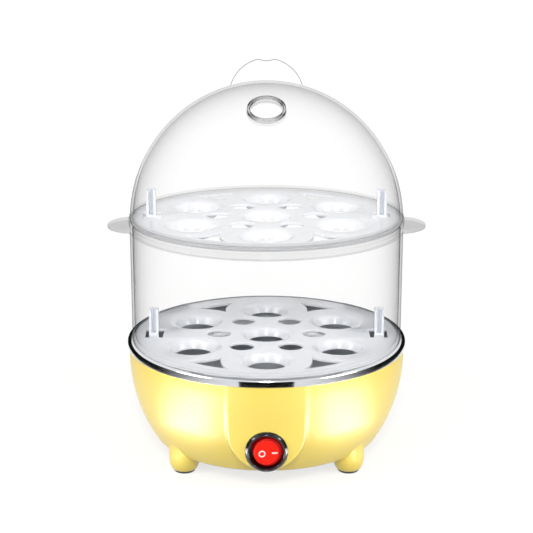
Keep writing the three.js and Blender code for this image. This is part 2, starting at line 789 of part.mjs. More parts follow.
// The dome's profile from a height up to the crown, moved inwards by a wall.
function domeSide(inset, from, steps) {
  const rise = domeRise - inset;
  const start = Math.asin((from - domeMiddle) / rise);
  return Array.from({ length: steps + 1 }, (_, i) => {
    const angle = start + ((Math.PI / 2 - start) * i) / steps;
    return [i === steps ? 0 : (domeRadius - inset) * Math.cos(angle), domeMiddle + rise * Math.sin(angle)];
  });
}

// The finger tab: a disc with a shallow dip between two peaks.
function fingerTab() {
  const middle = crown - tabSink;
  const shape = new THREE.Shape();
  const dipAngle = radians(13);
  shape.absarc(0, middle, tabRadius, Math.PI / 2 + dipAngle, 2 * Math.PI + Math.PI / 2 - dipAngle, false);
  shape.quadraticCurveTo(tabRadius * 0.1, middle + tabRadius - tabDip, 0, middle + tabRadius - tabDip);
  shape.quadraticCurveTo(-tabRadius * 0.1, middle + tabRadius - tabDip,
    -tabRadius * Math.sin(dipAngle), middle + tabRadius * Math.cos(dipAngle));
  return standing(shape, -tabThickness / 2, tabThickness / 2, 12);
}

function lid() {
  const outer = turned([
    [0, lidBottom],
    [lidRadius, lidBottom],
    [lidRadius, lidBottom + lidLip],
    ...domeSide(0, lidBottom + lidLip + 0.3, 7),
  ], 40);
  const cavity = turned([[0, lidBottom - 1], [domeRadius - domeWall, lidBottom - 1],
    ...domeSide(domeWall, lidBottom, 6)], 32);
  const angle = radians(ventAngle);
  const ventPlace = [0, -domeRadius * Math.sin(angle), domeMiddle + domeRise * Math.cos(angle)];
  const toVent = (geometry) => geometry.rotateX(angle).translate(...ventPlace);
  const rim = toVent(disc(ventRadius, -3, ventRim, 16));
  const bore = toVent(disc(ventBore, -8, ventRim + 2, 16));
  return carve([outer, fingerTab(), rim], [cavity, bore]);
}

// ---- The assembly -------------------------------------------------------

const base = new THREE.Group();
const heater = new THREE.Group();
const wiring = new THREE.Group();
const powerSwitch = new THREE.Group();
base.add(heater, wiring, powerSwitch);

piece('base_housing', baseHousing(), finishes.yellow, base);
piece('bottom_cover', bottomCover(), finishes.black, base);
footPlaces.forEach(([x, y], i) =>
  piece(`foot_pad_${i + 1}`, footPad(), finishes.rubber, base).position.set(x, y, 0));
coverScrewPlaces.forEach(([x, y], i) =>
  piece(`cover_screw_${i + 1}`, screw(bottomHeight - gap, 1, 12), finishes.steel, base)
    .position.set(x, y, 0));
piece('trim_ring', trimRing(), finishes.steel, base);

piece('heating_pan', heatingPan(), finishes.pan, heater);
piece('pan_gasket', panGasket(), finishes.silicone, heater);
piece('heat_spreader', heatSpreader(), finishes.aluminium, heater);
piece('heating_element', heatingElement(), finishes.aluminium, heater);
elementEnds.forEach(([x, y], i) =>
  piece(`element_bush_${i + 1}`, elementBush(), finishes.ceramic, heater).position.set(x, y, 0));
piece('clamp_bar', clampBar(), finishes.steel, heater);
barPlaces.forEach(([x, y], i) =>
  piece(`clamp_screw_${i + 1}`, screw(barTop + gap, -1, 9), finishes.steel, heater)
    .position.set(x, y, 0));
piece('thermostat', thermostat(), finishes.brass, heater);
piece('thermal_fuse', thermalFuse(), finishes.sleeve, heater);
piece('fuse_clip', fuseClip(), finishes.steel, heater);
piece('earth_stud', earthStud(), finishes.steel, heater);

piece('cord_gland', cordGland(), finishes.black, wiring);
piece('cord_clamp', cordClamp(), finishes.black, wiring);
cordClampPlaces.forEach(([x, y], i) =>
  piece(`cord_clamp_screw_${i + 1}`, screw(cordClampTop + 2 * gap + 2.5, -1, 9), finishes.steel, wiring)
    .position.set(x, y, 0));
piece('terminal_block', terminalBlock(), finishes.white, wiring);
const leadFinishes = {
  lead_live: finishes.brown,
  lead_switched: finishes.brown,
  lead_thermostat: finishes.brown,
  lead_neutral: finishes.blue,
  lead_fuse: finishes.blue,
  lead_earth: finishes.green,
};
Object.entries(leadRoutes()).forEach(([name, route]) =>
  piece(name, tube(route, leadRadius), leadFinishes[name], wiring));

piece('switch_bezel', switchBezel(), finishes.black, powerSwitch);
piece('switch_body', switchBody(), finishes.black, powerSwitch);
piece('switch_lamp', neonLamp(), finishes.glass, powerSwitch);
[-bladePitch, 0, bladePitch].forEach((x, i) =>
  piece(`switch_blade_${i + 1}`, switchBlade(x), finishes.brass, powerSwitch));
piece('switch_rocker', switchRocker(), finishes.red, powerSwitch);

const rack = eggRack();
piece('egg_rack_lower', rack, finishes.white);
piece('steam_tier', steamTier(), finishes.clear);
piece('egg_rack_upper', rack.clone(), finishes.white).position.z = rackRise;
piece('lid', lid(), finishes.clear);
cooker.add(base);

export default cooker;
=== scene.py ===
"""A two-tier egg cooker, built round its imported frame: run it as a script."""

import math
from types import SimpleNamespace

import bmesh
import bpy
from bpy.props import FloatProperty, FloatVectorProperty, IntProperty
from mathutils import Matrix, Vector


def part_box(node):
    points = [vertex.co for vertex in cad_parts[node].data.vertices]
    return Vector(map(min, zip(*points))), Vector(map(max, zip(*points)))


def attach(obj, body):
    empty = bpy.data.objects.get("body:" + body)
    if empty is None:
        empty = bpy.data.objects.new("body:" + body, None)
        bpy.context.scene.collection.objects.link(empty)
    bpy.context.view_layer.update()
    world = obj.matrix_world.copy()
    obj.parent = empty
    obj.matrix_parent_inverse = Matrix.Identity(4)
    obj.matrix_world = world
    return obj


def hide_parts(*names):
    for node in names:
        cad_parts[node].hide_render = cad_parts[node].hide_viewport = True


bl_info = {
    "name": "Egg cooker",
    "version": (1, 0, 0),
    "blender": (4, 5, 0),
    "location": "3D View > Sidebar > Egg cooker",
    "description": "Builds the surfaces and finishes of a two-tier egg cooker",
    "category": "Add Mesh",
}

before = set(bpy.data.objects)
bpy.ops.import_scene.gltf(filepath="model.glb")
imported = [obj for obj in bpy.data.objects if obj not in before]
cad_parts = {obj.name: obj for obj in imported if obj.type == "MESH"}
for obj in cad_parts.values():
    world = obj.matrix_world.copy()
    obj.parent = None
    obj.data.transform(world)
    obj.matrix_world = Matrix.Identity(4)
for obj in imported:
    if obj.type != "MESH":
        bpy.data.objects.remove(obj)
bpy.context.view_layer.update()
MM = 0.001
TAU = math.tau
WHITE = (1, 1, 1)


def top_of(node):
    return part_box(node)[1][2]


def bottom_of(node):
    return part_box(node)[0][2]


def reach_of(node):
    """The outside radius of a round node on the upright axis."""
    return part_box(node)[1][1]


# ---- Sizes and colours -----------------------------------------------------


def length(name, description, default):
    return FloatProperty(name=name, description=description, default=default, unit="LENGTH")


def colour(name, description, red, green, blue):
    """A colour given by its screen values from 0 to 255."""
    linear = [((v / 255 + 0.055) / 1.055) ** 2.4 if v > 10 else v / 255 / 12.92
              for v in (red, green, blue)]
    return FloatVectorProperty(name=name, description=description, default=linear,
                               subtype="COLOR", min=0, max=1)


class CookerSizes(bpy.types.PropertyGroup):
    """Lengths in metres; the overall ones come from the frame."""

    trim_radius: length("Trim radius", "Outside of the steel ring", reach_of("trim_ring"))
    trim_head: length("Trim head", "Width of the steel ring's rolled top", 2.5 * MM)
    trim_wall: length("Trim wall", "Thickness of the steel ring's skirt", 1.3 * MM)
    bowl_inset: length("Bowl inset", "The bowl's girth inside the steel ring", 0.9 * MM)
    bowl_shoulder: length("Bowl shoulder", "The girth's depth under the top edge", 4.5 * MM)
    bottom_radius: length("Bottom radius", "Where the bowl meets its flat bottom", 64.2 * MM)
    bottom_height: length("Bottom height", "Clearance under the bottom", bottom_of("bottom_cover"))
    bottom_fillet: length("Bottom fillet", "Rounding of the bowl's lower edge", 4.5 * MM)
    wall: length("Housing wall", "Wall thickness of the housing", 2.4 * MM)
    foot_radius: length("Foot radius", "Radius of the stub feet", 8.75 * MM)
    foot_pitch: length("Foot pitch", "Distance of the feet from the axis", 60.2 * MM)
    screw_pitch: length("Screw pitch", "Distance of the cover screws from the axis", 50 * MM)
    boss_width: length("Boss half width", "Half the width of the switch boss", 22.5 * MM)
    boss_face: length("Boss face", "Distance of the switch panel from the axis", 77.2 * MM)
    boss_blend: length("Boss blend", "Width of the boss's rounded side", 3.4 * MM)
    switch_height: length("Switch height", "Centre of the switch", 27 * MM)
    switch_hole: length("Switch hole", "Radius of the panel hole", 10.1 * MM)
    gland_height: length("Gland height", "Centre of the cord gland", 25 * MM)
    well_pitch: length("Well pitch", "Radius of the ring of wells", 47.5 * MM)
    well_mouth: length("Well mouth", "Radius of a well at the plate", 16.5 * MM)
    well_seat: length("Well seat", "Radius of the edge the egg sits on", 13 * MM)
    well_opening: length("Well opening", "Radius at the bottom of a well", 11 * MM)
    window_radius: length("Window radius", "Outer edge of the large windows", 65.5 * MM)
    window_margin: length("Window margin", "From a well's centre to a window", 25 * MM)
    post_radius: length("Post radius", "Distance of the lifting posts", 65 * MM)
    tier_wall: length("Tier wall", "Thickness of the clear walls", 1.4 * MM)
    ear_radius: length("Ear radius", "Radius of the ears' outline", 18.5 * MM)
    tab_radius: length("Tab radius", "Radius of the lid's finger tab", 20.8 * MM)
    vent_radius: length("Vent radius", "Outside of the vent's rim", 10.3 * MM)
    vent_bore: length("Vent bore", "Radius of the vent", 8.8 * MM)
    post_height: length("Post height", "Height of the lifting posts", 15 * MM)
    dome_height: length("Dome height", "From the lid's lower edge to its crown", 75.4 * MM)
    round_steps: IntProperty(name="Round steps", description="Segments of a full turn",
                             default=144, min=24, max=256)


class CookerColours(bpy.types.PropertyGroup):
    """Finish colours."""

    shell: colour("Shell", "Yellow housing", 251, 224, 92)
    rack: colour("Rack", "White racks", 242, 247, 255)
    # The clear plastic's edge tint is painted shade: the grey mixed in where it turns away,
    # standing in for refraction.
    clear: colour("Clear", "Edge tint of the clear plastic", 52, 53, 57)
    steel: colour("Steel", "Bright steel", 226, 228, 231)
    pan: colour("Pan", "Heating pan", 176, 179, 183)
    rocker: colour("Rocker", "Switch rocker", 246, 30, 8)
    dark: colour("Dark plastic", "Bezel, gland and cover", 24, 25, 28)
    mark: colour("Mark", "Printed marks", 250, 240, 240)


# ---- Node trees ------------------------------------------------------------


class Value:
    """A node's output; arithmetic on it adds Math nodes to the same tree."""

    def __init__(self, graph, socket):
        self.graph = graph
        self.socket = socket

    def maths(self, operation, *others, reverse=False):
        terms = [self, *others]
        if reverse:
            terms.reverse()
        inputs = dict(enumerate(terms))
        return self.graph.node("ShaderNodeMath", {"operation": operation}, inputs)

    def __add__(self, other):
        return self.maths("ADD", other)

    def __radd__(self, other):
        return self.maths("ADD", other, reverse=True)

    def __sub__(self, other):
        return self.maths("SUBTRACT", other)

    def __rsub__(self, other):
        return self.maths("SUBTRACT", other, reverse=True)

    def __mul__(self, other):
        return self.maths("MULTIPLY", other)

    def __rmul__(self, other):
        return self.maths("MULTIPLY", other, reverse=True)

    def __truediv__(self, other):
        return self.maths("DIVIDE", other)

    def __rtruediv__(self, other):
        return self.maths("DIVIDE", other, reverse=True)

    def __pow__(self, other):
        return self.maths("POWER", other)

    def above(self, limit):
        return self.maths("GREATER_THAN", limit)

    def most(self, other):
        return self.maths("MAXIMUM", other)

    def size(self):
        return self.maths("ABSOLUTE")

    def line(self, middle, core, end):
        """1 within core of the middle, 0 past end, and smooth between."""
        return 1 - (self - middle).size().ramp(core, end)

    def ramp(self, start, end):
        """0 before start, 1 after end, and smooth between."""
        settings = {"interpolation_type": "SMOOTHSTEP"}
        inputs = {"Value": self, "From Min": start, "From Max": end}
        return self.graph.node("ShaderNodeMapRange", settings, inputs)


class Graph:
    """Adds nodes to a tree and joins them up."""

    def __init__(self, tree):
        self.tree = tree

    def make(self, kind, settings=None, inputs=None):
        """A node: its type and settings first, then socket values or links."""
        made = self.tree.nodes.new(kind)
        for name, value in (settings or {}).items():
            setattr(made, name, value)
        for key, value in (inputs or {}).items():
            self.feed(made, key, value)
        return made

    def feed(self, made, key, value):
        """Sets or links one input, given by its place or its name."""
        if isinstance(key, int):
            socket = made.inputs[key]
        else:
            socket = next(s for s in made.inputs if s.name == key and s.enabled)
        if isinstance(value, Value):
            self.tree.links.new(value.socket, socket)
        elif socket.type == "RGBA" and len(value) == 3:
            socket.default_value = (*value, 1)
        else:
            socket.default_value = value

    def node(self, kind, settings=None, inputs=None, output=None):
        """As make, but gives the named output, or the first one in use."""
        made = self.make(kind, settings, inputs)
        sockets = [s for s in made.outputs if s.enabled]
        chosen = next(s for s in sockets if output in (None, s.name))
        return Value(self, chosen)

    def parts(self, vector):
        """The three components of a vector."""
        made = self.make("ShaderNodeSeparateXYZ", None, {0: vector})
        return [Value(self, socket) for socket in made.outputs]


class Finish(Graph):
    """One material: a Principled surface, and the patterns that feed it."""

    def __init__(self, name, base=(0.8, 0.8, 0.8), roughness=0.5, **constants):
        self.slot = name
        self.material = bpy.data.materials.new(name + "_look")
        self.material.use_nodes = True
        self.material.diffuse_color = (*base, 1)
        super().__init__(self.material.node_tree)
        self.tree.nodes.clear()
        self.surface = self.make("ShaderNodeBsdfPrincipled")
        self.output = self.make("ShaderNodeOutputMaterial")
        self.place = self.node("ShaderNodeTexCoord", output="Object")
        self.show(self.body())
        self.set("Base Color", tuple(base))
        self.set("Roughness", roughness)
        for name_of, value in constants.items():
            self.set(name_of.replace("_", " "), value)

    def set(self, name, value):
        self.feed(self.surface, name, value)

    def show(self, shader):
        self.feed(self.output, "Surface", shader)

    def noise(self, scale, detail=3, stretch=None):
        """Noise from 0 to 1; scale is in waves per metre."""
        place = self.place
        if stretch:
            place = self.node("ShaderNodeVectorMath", {"operation": "MULTIPLY"},
                              {0: place, 1: stretch})
        return self.node("ShaderNodeTexNoise", None,
                         {"Vector": place, "Scale": scale, "Detail": detail})

    def cells(self, scale):
        return self.node("ShaderNodeTexVoronoi", None, {"Vector": self.place, "Scale": scale})

    def blend(self, share, first, second):
        settings = {"data_type": "RGBA"}
        return self.node("ShaderNodeMix", settings, {"Factor": share, "A": first, "B": second})

    def bump(self, height, distance, strength=1):
        inputs = {"Height": height, "Distance": distance, "Strength": strength}
        self.set("Normal", self.node("ShaderNodeBump", None, inputs))

    def rings(self):
        """Distance from the upright axis, in metres."""
        x, y, z = self.parts(self.place)
        return (x * x + y * y) ** 0.5

    def mix_shader(self, share, first, second):
        self.show(self.node("ShaderNodeMixShader", None, {0: share, 1: first, 2: second}))

    def body(self):
        return Value(self, self.surface.outputs[0])

    def clear_shader(self):
        return self.node("ShaderNodeBsdfTransparent", None, {"Color": WHITE})


def tint(rgb, factor):
    return tuple(min(1, channel * factor) for channel in rgb)


def moulded(name, base, roughness, grain=0.06, scale=900, **constants):
    """Injection-moulded plastic: a faint grain and slow changes of gloss."""
    made = Finish(name, base, roughness, **constants)
    slow = made.noise(14, 2)
    fine = made.noise(scale, 2)
    made.set("Base Color", made.blend(slow, tint(base, 0.985), tint(base, 1.01)))
    made.set("Roughness", roughness - 0.03 + 0.06 * slow)
    made.bump(fine, grain * MM)
    return made


def metal(name, base, roughness, stretch=None, scale=600, spread=0.12, depth=0.02):
    """Metal with drawn marks along the axis that stretch shortens."""
    made = Finish(name, base, roughness, Metallic=1)
    marks = made.noise(scale, 3, stretch)
    made.set("Base Color", made.blend(marks, tint(base, 0.92), tint(base, 1.06)))
    made.set("Roughness", roughness - spread / 2 + spread * marks)
    made.bump(marks, depth * MM)
    return made


def spun(name, base, roughness):
    """Sheet metal with fine rings round the upright axis and faint stains."""
    made = Finish(name, base, roughness, Metallic=1)
    radius = made.rings()
    wobble = made.noise(90, 2)
    rings = ((radius + 0.0002 * wobble) * 5200).maths("SINE")
    stain = made.noise(55, 4).ramp(0.45, 0.8)
    made.set("Base Color", made.blend(stain, base, tint(base, 0.86)))
    made.set("Roughness", roughness + 0.05 * rings + 0.12 * stain)
    made.bump(rings, 0.01 * MM)
    return made


def lead(name, base, stripe=None):
    """Insulation of an inner lead, with a stripe if it has two colours."""
    made = Finish(name, base, 0.5)
    fine = made.noise(700, 2)
    shade = made.blend(fine, tint(base, 0.9), tint(base, 1.08))
    if stripe:
        x, y, z = made.parts(made.place)
        band = ((x + y) * 1400).maths("SINE").above(0.1)
        shade = made.blend(band, shade, stripe)
    made.set("Base Color", shade)
    made.bump(fine, 0.02 * MM)
    return made


LID_SHOULDER = 190    # height in mm above which only the tab and the vent stand proud
VENT_TILT = 30        # degrees from the crown towards the switch


def clear_finish(colours, s):
    """Clear plastic: seen through face on, with painted grey shade standing in for refraction where
    it turns away and over its ears, flange, vent and tab outline.
    """
    # base is the grey of the painted shade, not a colour of the plastic.
    base = tuple(colours.clear)
    made = Finish("clear_plastic", base, 0.12, Specular_IOR_Level=0.25)
    haze = made.noise(60, 3)
    made.set("Base Color", made.blend(haze, tint(base, 0.9), tint(base, 1.1)))
    facing = made.node("ShaderNodeLayerWeight", None, {"Blend": 0.5}, "Facing")
    x, y, z = made.parts(made.place)

    # The tier's ears and flange in painted grey, and a painted shadow line at the flange's foot and
    # another at its top.
    ears = x.size().ramp((s.tier_radius + 0.6) * MM, (s.tier_radius + 1.6) * MM)
    lip = s.tier_top + 1.9
    flange = z.ramp((s.tier_top - 7) * MM, (s.tier_top - 6.4) * MM)
    flange = flange * (1 - z.ramp(lip * MM, (lip + 0.5) * MM))
    painted_shadow_lines = z.line((s.tier_top - 6.5) * MM, 0.2 * MM, 0.5 * MM)
    painted_shadow_lines = painted_shadow_lines + z.line((s.tier_top + 0.2) * MM, 0.2 * MM, 0.5 * MM)

    # The vent's disc and the two borders of its rim, in painted grey shade.
    centre, tilt = vent_place(s)
    middle = centre[1] * math.cos(tilt) + centre[2] * math.sin(tilt)
    down = y * math.cos(tilt) + z * math.sin(tilt) - middle * MM
    aside = (x * x + down * down) ** 0.5
    vent = (1 - aside.ramp((s.vent_radius + 0.1) * MM, (s.vent_radius + 0.5) * MM)) * 0.07
    for radius in (s.vent_radius, s.vent_bore):
        vent = vent + aside.line(radius * MM, 0.1 * MM, 0.5 * MM) * 0.12

    # What stands proud of the dome, such as the finger tab, gets a painted dark outline where it
    # turns away.
    round_axis = (x * x + y * y) / (s.tier_radius * MM) ** 2
    skin = (1 - round_axis).most(0) ** 0.5 * ((s.crown - s.dome_middle) * MM)
    proud = (z - skin).ramp((s.dome_middle + 0.4) * MM, (s.dome_middle + 0.8) * MM)
    high = z.above(LID_SHOULDER * MM)
    edges = proud * high * facing.ramp(0.1, 0.7)

    # Painted shade, not thickness: grey on the ears and flange, and dark painted marks at the
    # flange, vent and tab outline, all standing in for refraction.
    thick = ears * 0.03 + flange * 0.08 + painted_shadow_lines * 0.16 + high * vent + edges * 0.75
    # Painted shade: grey mixed in where the walls turn away from view, standing in for refraction.
    share = facing ** 3.7 * 0.38 + facing ** 16 * 0.6 + 0.002 + haze * 0.002 + thick
    made.mix_shader(share, made.clear_shader(), made.body())
    return made


def rocker_finish(colours, s):
    """Red switch plastic with a faint painted glow over its face, and painted shade darkening its
    rounded rim.
    """
    base = tuple(colours.rocker)
    # Emission_Strength gives the rocker a painted glow; the rocker is no lamp.
    made = Finish("red_plastic", base, 0.3, Specular_IOR_Level=0.2, Emission_Strength=0.2)
    slow = made.noise(120, 2)
    x, y, z = made.parts(made.place)
    up = z - s.switch_height * MM
    across = ((x * x + up * up) ** 0.5).ramp(6.5 * MM, 7.1 * MM)
    # Painted shade: rim is the dark red given to the rounded edge where it turns away from the
    # light.
    rim = (0.42, 0.004, 0.003)
    made.set("Base Color", made.blend(across, made.blend(slow, tint(base, 0.9), base), rim))
    # The emission colour is a painted glow, dark red painted shade at the rim.
    made.set("Emission Color", made.blend(across, tint(base, 0.9), rim))
    made.bump(made.noise(900, 2), 0.01 * MM)
    return made


def woven_sleeve():
    """Woven glass sleeving."""
    base = (0.75, 0.71, 0.62)
    made = Finish("sleeve", base, 0.85)
    x, y, z = made.parts(made.place)
    weave = ((x + z) * 9000).maths("SINE") * ((x - z) * 9000).maths("SINE")
    made.set("Base Color", made.blend(weave.ramp(-1, 1), tint(base, 0.75), base))
    made.bump(weave, 0.08 * MM)
    return made


def speckled(name, base, roughness):
    """Unglazed ceramic or rubber: coarse specks over a matt body."""
    made = Finish(name, base, roughness)
    specks = made.cells(1600).ramp(0.1, 0.5)
    made.set("Base Color", made.blend(specks, tint(base, 0.8), tint(base, 1.05)))
    made.set("Roughness", roughness - 0.08 + 0.08 * specks)
    made.bump(specks, 0.03 * MM)
    return made


def lamp_finish():
    """Clouded glass of the small lamp."""
    made = Finish("lamp_glass", (0.95, 0.62, 0.42), 0.08)
    cloud = made.noise(500, 2)
    made.set("Base Color", made.blend(cloud, (0.95, 0.70, 0.50), (0.90, 0.50, 0.32)))
    made.set("Alpha", 0.55 + 0.3 * cloud)
    return made


def paper_finish():
    """A white floor that glows a little, and is seen through from below."""
    made = Finish("pale_floor", (0.9, 0.9, 0.9), 0.9, Emission_Strength=0.84)
    fine = made.noise(3, 2)
    made.set("Base Color", made.blend(fine, (0.3, 0.3, 0.3), (0.31, 0.31, 0.31)))
    far = made.rings().ramp(0.1, 1.35)
    made.set("Emission Color", made.blend(far, (0.86, 0.86, 0.86), (1, 1, 1)))
    under = made.node("ShaderNodeNewGeometry", output="Backfacing")
    made.mix_shader(under, made.body(), made.clear_shader())
    return made


FINISHES = {}


def make_finishes(colours):
    """All materials, by the name of the slot that they belong to."""
    s = sizes()
    dark = tuple(colours.dark)
    made = [
        moulded("yellow_plastic", tuple(colours.shell), 0.42, 0.01, Specular_IOR_Level=0.9,
                Coat_Weight=0.3, Coat_Roughness=0.15),
        moulded("rack_plastic", tuple(colours.rack), 0.18, 0.015, Specular_IOR_Level=0.4,
                Subsurface_Weight=0.6, Subsurface_Radius=(1, 1, 1), Subsurface_Scale=5 * MM),
        moulded("black_plastic", tint(dark, 0.5), 0.14, 0.005, Coat_Weight=0.6,
                Specular_IOR_Level=0.4),
        moulded("cover_plastic", dark, 0.55, 0.15, 1400),
        moulded("terminal_plastic", (0.72, 0.72, 0.69), 0.5),
        moulded("mark_print", tuple(colours.mark), 0.35, 0.01),
        metal("trim_steel", tuple(colours.steel), 0.09, (1, 1, 30), 120, 0.05, 0.002),
        spun("pan_steel", tuple(colours.pan), 0.34),
        metal("aluminium", (0.62, 0.63, 0.64), 0.5, None, 900, 0.2),
        metal("zinc_steel", (0.66, 0.68, 0.71), 0.32, None, 350, 0.16),
        metal("brass", (0.75, 0.55, 0.24), 0.3, None, 500, 0.16),
        speckled("silicone", (0.78, 0.79, 0.80), 0.5),
        speckled("ceramic", (0.80, 0.77, 0.70), 0.7),
        speckled("gland_rubber", tint(dark, 1.1), 0.6),
        speckled("pad_rubber", (0.06, 0.062, 0.066), 0.75),
        lead("lead_brown", (0.13, 0.045, 0.02)),
        lead("lead_blue", (0.02, 0.10, 0.42)),
        lead("lead_green", (0.08, 0.36, 0.07), (0.75, 0.62, 0.04)),
        woven_sleeve(),
        lamp_finish(),
        rocker_finish(colours, s),
        clear_finish(colours, s),
        paper_finish(),
    ]
    FINISHES.update({one.slot: one.material for one in made})


# ---- Meshes ----------------------------------------------------------------


def placed(name, data):
    """A new object in the scene, at the origin."""
    made = bpy.data.objects.new(name, data)
    bpy.context.scene.collection.objects.link(made)
    return made


def new_object(name, points, faces):
    """A closed mesh with its faces turned outwards; points are in millimetres."""
    mesh = bpy.data.meshes.new(name)
    mesh.from_pydata([Vector(point) * MM for point in points], [], faces)
    work = bmesh.new()
    work.from_mesh(mesh)
    bmesh.ops.remove_doubles(work, verts=work.verts, dist=1e-7)
    bmesh.ops.recalc_face_normals(work, faces=work.faces)
    work.to_mesh(mesh)
    work.free()
    return placed(name, mesh)


def arc(across, height, radius, start, end, steps=6):
    """Points of an arc in a profile, from one angle in degrees to another."""
    angles = [math.radians(start + (end - start) * i / steps) for i in range(steps + 1)]
    return [(across + radius * math.cos(a), height + radius * math.sin(a)) for a in angles]


def turned(name, profile, steps=96, angles=None, radius_at=None):
    """Turns a closed profile of (radius, height) pairs round the upright axis.

    angles may give uneven steps, and radius_at(radius, height, angle) may move
    each point in or out.
    """
    angles = angles or [TAU * i / steps for i in range(steps)]
    steps = len(angles)
    points = []
    for angle in angles:
        for radius, height in profile:
            r = radius_at(radius, height, angle) if radius_at else radius
            points.append((r * math.cos(angle), r * math.sin(angle), height))
    count = len(profile)
    faces = []
    for i in range(steps):
        for j in range(count):
            a, b = i * count, (i + 1) % steps * count
            k = (j + 1) % count
            if profile[j][0] > 1e-9 and profile[k][0] > 1e-9:
                faces.append((a + j, b + j, b + k, a + k))
            elif profile[j][0] > 1e-9:
                faces.append((a + j, b + j, a + k))
            elif profile[k][0] > 1e-9:
                faces.append((a + j, b + k, a + k))
    return new_object(name, points, faces)


def prism(name, outline, low, high):
    """Raises a flat outline of (x, y) pairs from one height to another."""
    count = len(outline)
    points = [(x, y, z) for z in (low, high) for x, y in outline]
    sides = [(i, (i + 1) % count, (i + 1) % count + count, i + count) for i in range(count)]
    caps = [tuple(range(count)), tuple(range(count, 2 * count))]
    return new_object(name, points, sides + caps)


def bar(name, radius, low, high, steps=96):
    """A round bar on the upright axis, from one height to another."""
    return turned(name, [(0, low), (radius, low), (radius, high), (0, high)], steps)


def tube(name, inner, outer, low, high, steps):
    return turned(name, [(inner, low), (outer, low), (outer, high), (inner, high)], steps)


def capsule(half, end, steps):
    """The outline of a slot with round ends; half runs to an end's centre."""
    return [*[(half + x, y) for x, y in arc(0, 0, end, -90, 90, steps)],
            *[(x - half, y) for x, y in arc(0, 0, end, 90, 270, steps)]]


def moved(made, matrix):
    """Moves an object's points, so that the object itself stays unturned."""
    made.data.transform(matrix)
    if matrix.determinant() < 0:
        made.data.flip_normals()
    return made


def at(x, y, z):
    return Matrix.Translation(Vector((x, y, z)) * MM)


def facing_front(height):
    """Turns a piece made upright so that up becomes -Y, centred at a height."""
    return at(0, 0, height) @ Matrix.Rotation(math.pi / 2, 4, "X")


def facing_back(height):
    return at(0, 0, height) @ Matrix.Rotation(-math.pi / 2, 4, "X")


def evaluated(made):
    """Gives the object the mesh that its modifiers make, and removes them."""
    bpy.context.view_layer.update()
    depsgraph = bpy.context.evaluated_depsgraph_get()
    mesh = bpy.data.meshes.new_from_object(made.evaluated_get(depsgraph))
    made.modifiers.clear()
    old = made.data
    made.data = mesh
    bpy.data.meshes.remove(old)
    return made


def combine(made, operation, others):
    """Joins the others to the object, or cuts them away, and removes them."""
    for other in others:
        step = made.modifiers.new("Combine", "BOOLEAN")
        step.operation = operation
        step.solver = "MANIFOLD"
        step.object = other
    before = len(made.data.polygons)
    evaluated(made)
    if len(made.data.polygons) < 4:
        raise RuntimeError(f"{made.name} had {before} faces and lost them in a {operation}")
    for other in others:
        mesh = other.data
        bpy.data.objects.remove(other)
        bpy.data.meshes.remove(mesh)
    return made


def join(made, *others):
    return combine(made, "UNION", others)


def cut(made, *others):
    return combine(made, "DIFFERENCE", others)


def finished(made, slot, body, *nodes, smooth=35):
    """Gives a piece its finish and its body, and the CAD nodes it stands for."""
    mesh = made.data
    mesh.name = made.name
    mesh.materials.clear()
    mesh.materials.append(FINISHES[slot])
    mesh.polygons.foreach_set("material_index", [0] * len(mesh.polygons))
    mesh.shade_smooth()
    mesh.set_sharp_from_angle(angle=math.radians(smooth))
    mesh.update()
    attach(made, body)
    slot != "mark_print"
    if nodes:
        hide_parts(*nodes)
    return made


def paint(slot, *nodes):
    """Gives CAD nodes their finish; their meshes stay as they are."""
    for node in nodes:
        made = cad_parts[node]
        made.data.materials.clear()
        made.data.materials.append(FINISHES[slot])


# ---- Repeated shapes -------------------------------------------------------


class Pattern(Graph):
    """A Geometry Nodes tree that sets out copies of a source object."""

    def __init__(self, name, inputs):
        tree = bpy.data.node_groups.new(name, "GeometryNodeTree")
        super().__init__(tree)
        face = tree.interface
        face.new_socket("Geometry", in_out="INPUT", socket_type="NodeSocketGeometry")
        face.new_socket("Geometry", in_out="OUTPUT", socket_type="NodeSocketGeometry")
        for label, kind, default in inputs:
            socket = face.new_socket(label, in_out="INPUT", socket_type="NodeSocket" + kind)
            if default is not None:
                socket.default_value = default
        entry = self.make("NodeGroupInput")
        self.given = {s.name: Value(self, s) for s in entry.outputs if s.name}

    def place(self, points, turn):
        """Copies the source to the points, and ends the tree."""
        source = self.node("GeometryNodeObjectInfo", None,
                           {"Object": self.given["Source"]}, "Geometry")
        copies = self.node("GeometryNodeInstanceOnPoints", None,
                           {"Points": points, "Instance": source, "Rotation": turn})
        real = self.node("GeometryNodeRealizeInstances", None, {0: copies})
        painted = self.node("GeometryNodeSetMaterial", None,
                            {"Geometry": real, "Material": self.given["Material"]})
        self.make("NodeGroupOutput", None, {0: painted})

    def run(self, name, **values):
        """A new object with this tree's result as a plain mesh."""
        made = placed(name, bpy.data.meshes.new(name))
        step = made.modifiers.new("Pattern", "NODES")
        step.node_group = self.tree
        for item in self.tree.interface.items_tree:
            key = item.name.replace(" ", "_").lower()
            if item.in_out == "INPUT" and key in values:
                step[item.identifier] = values[key]
        return evaluated(made)


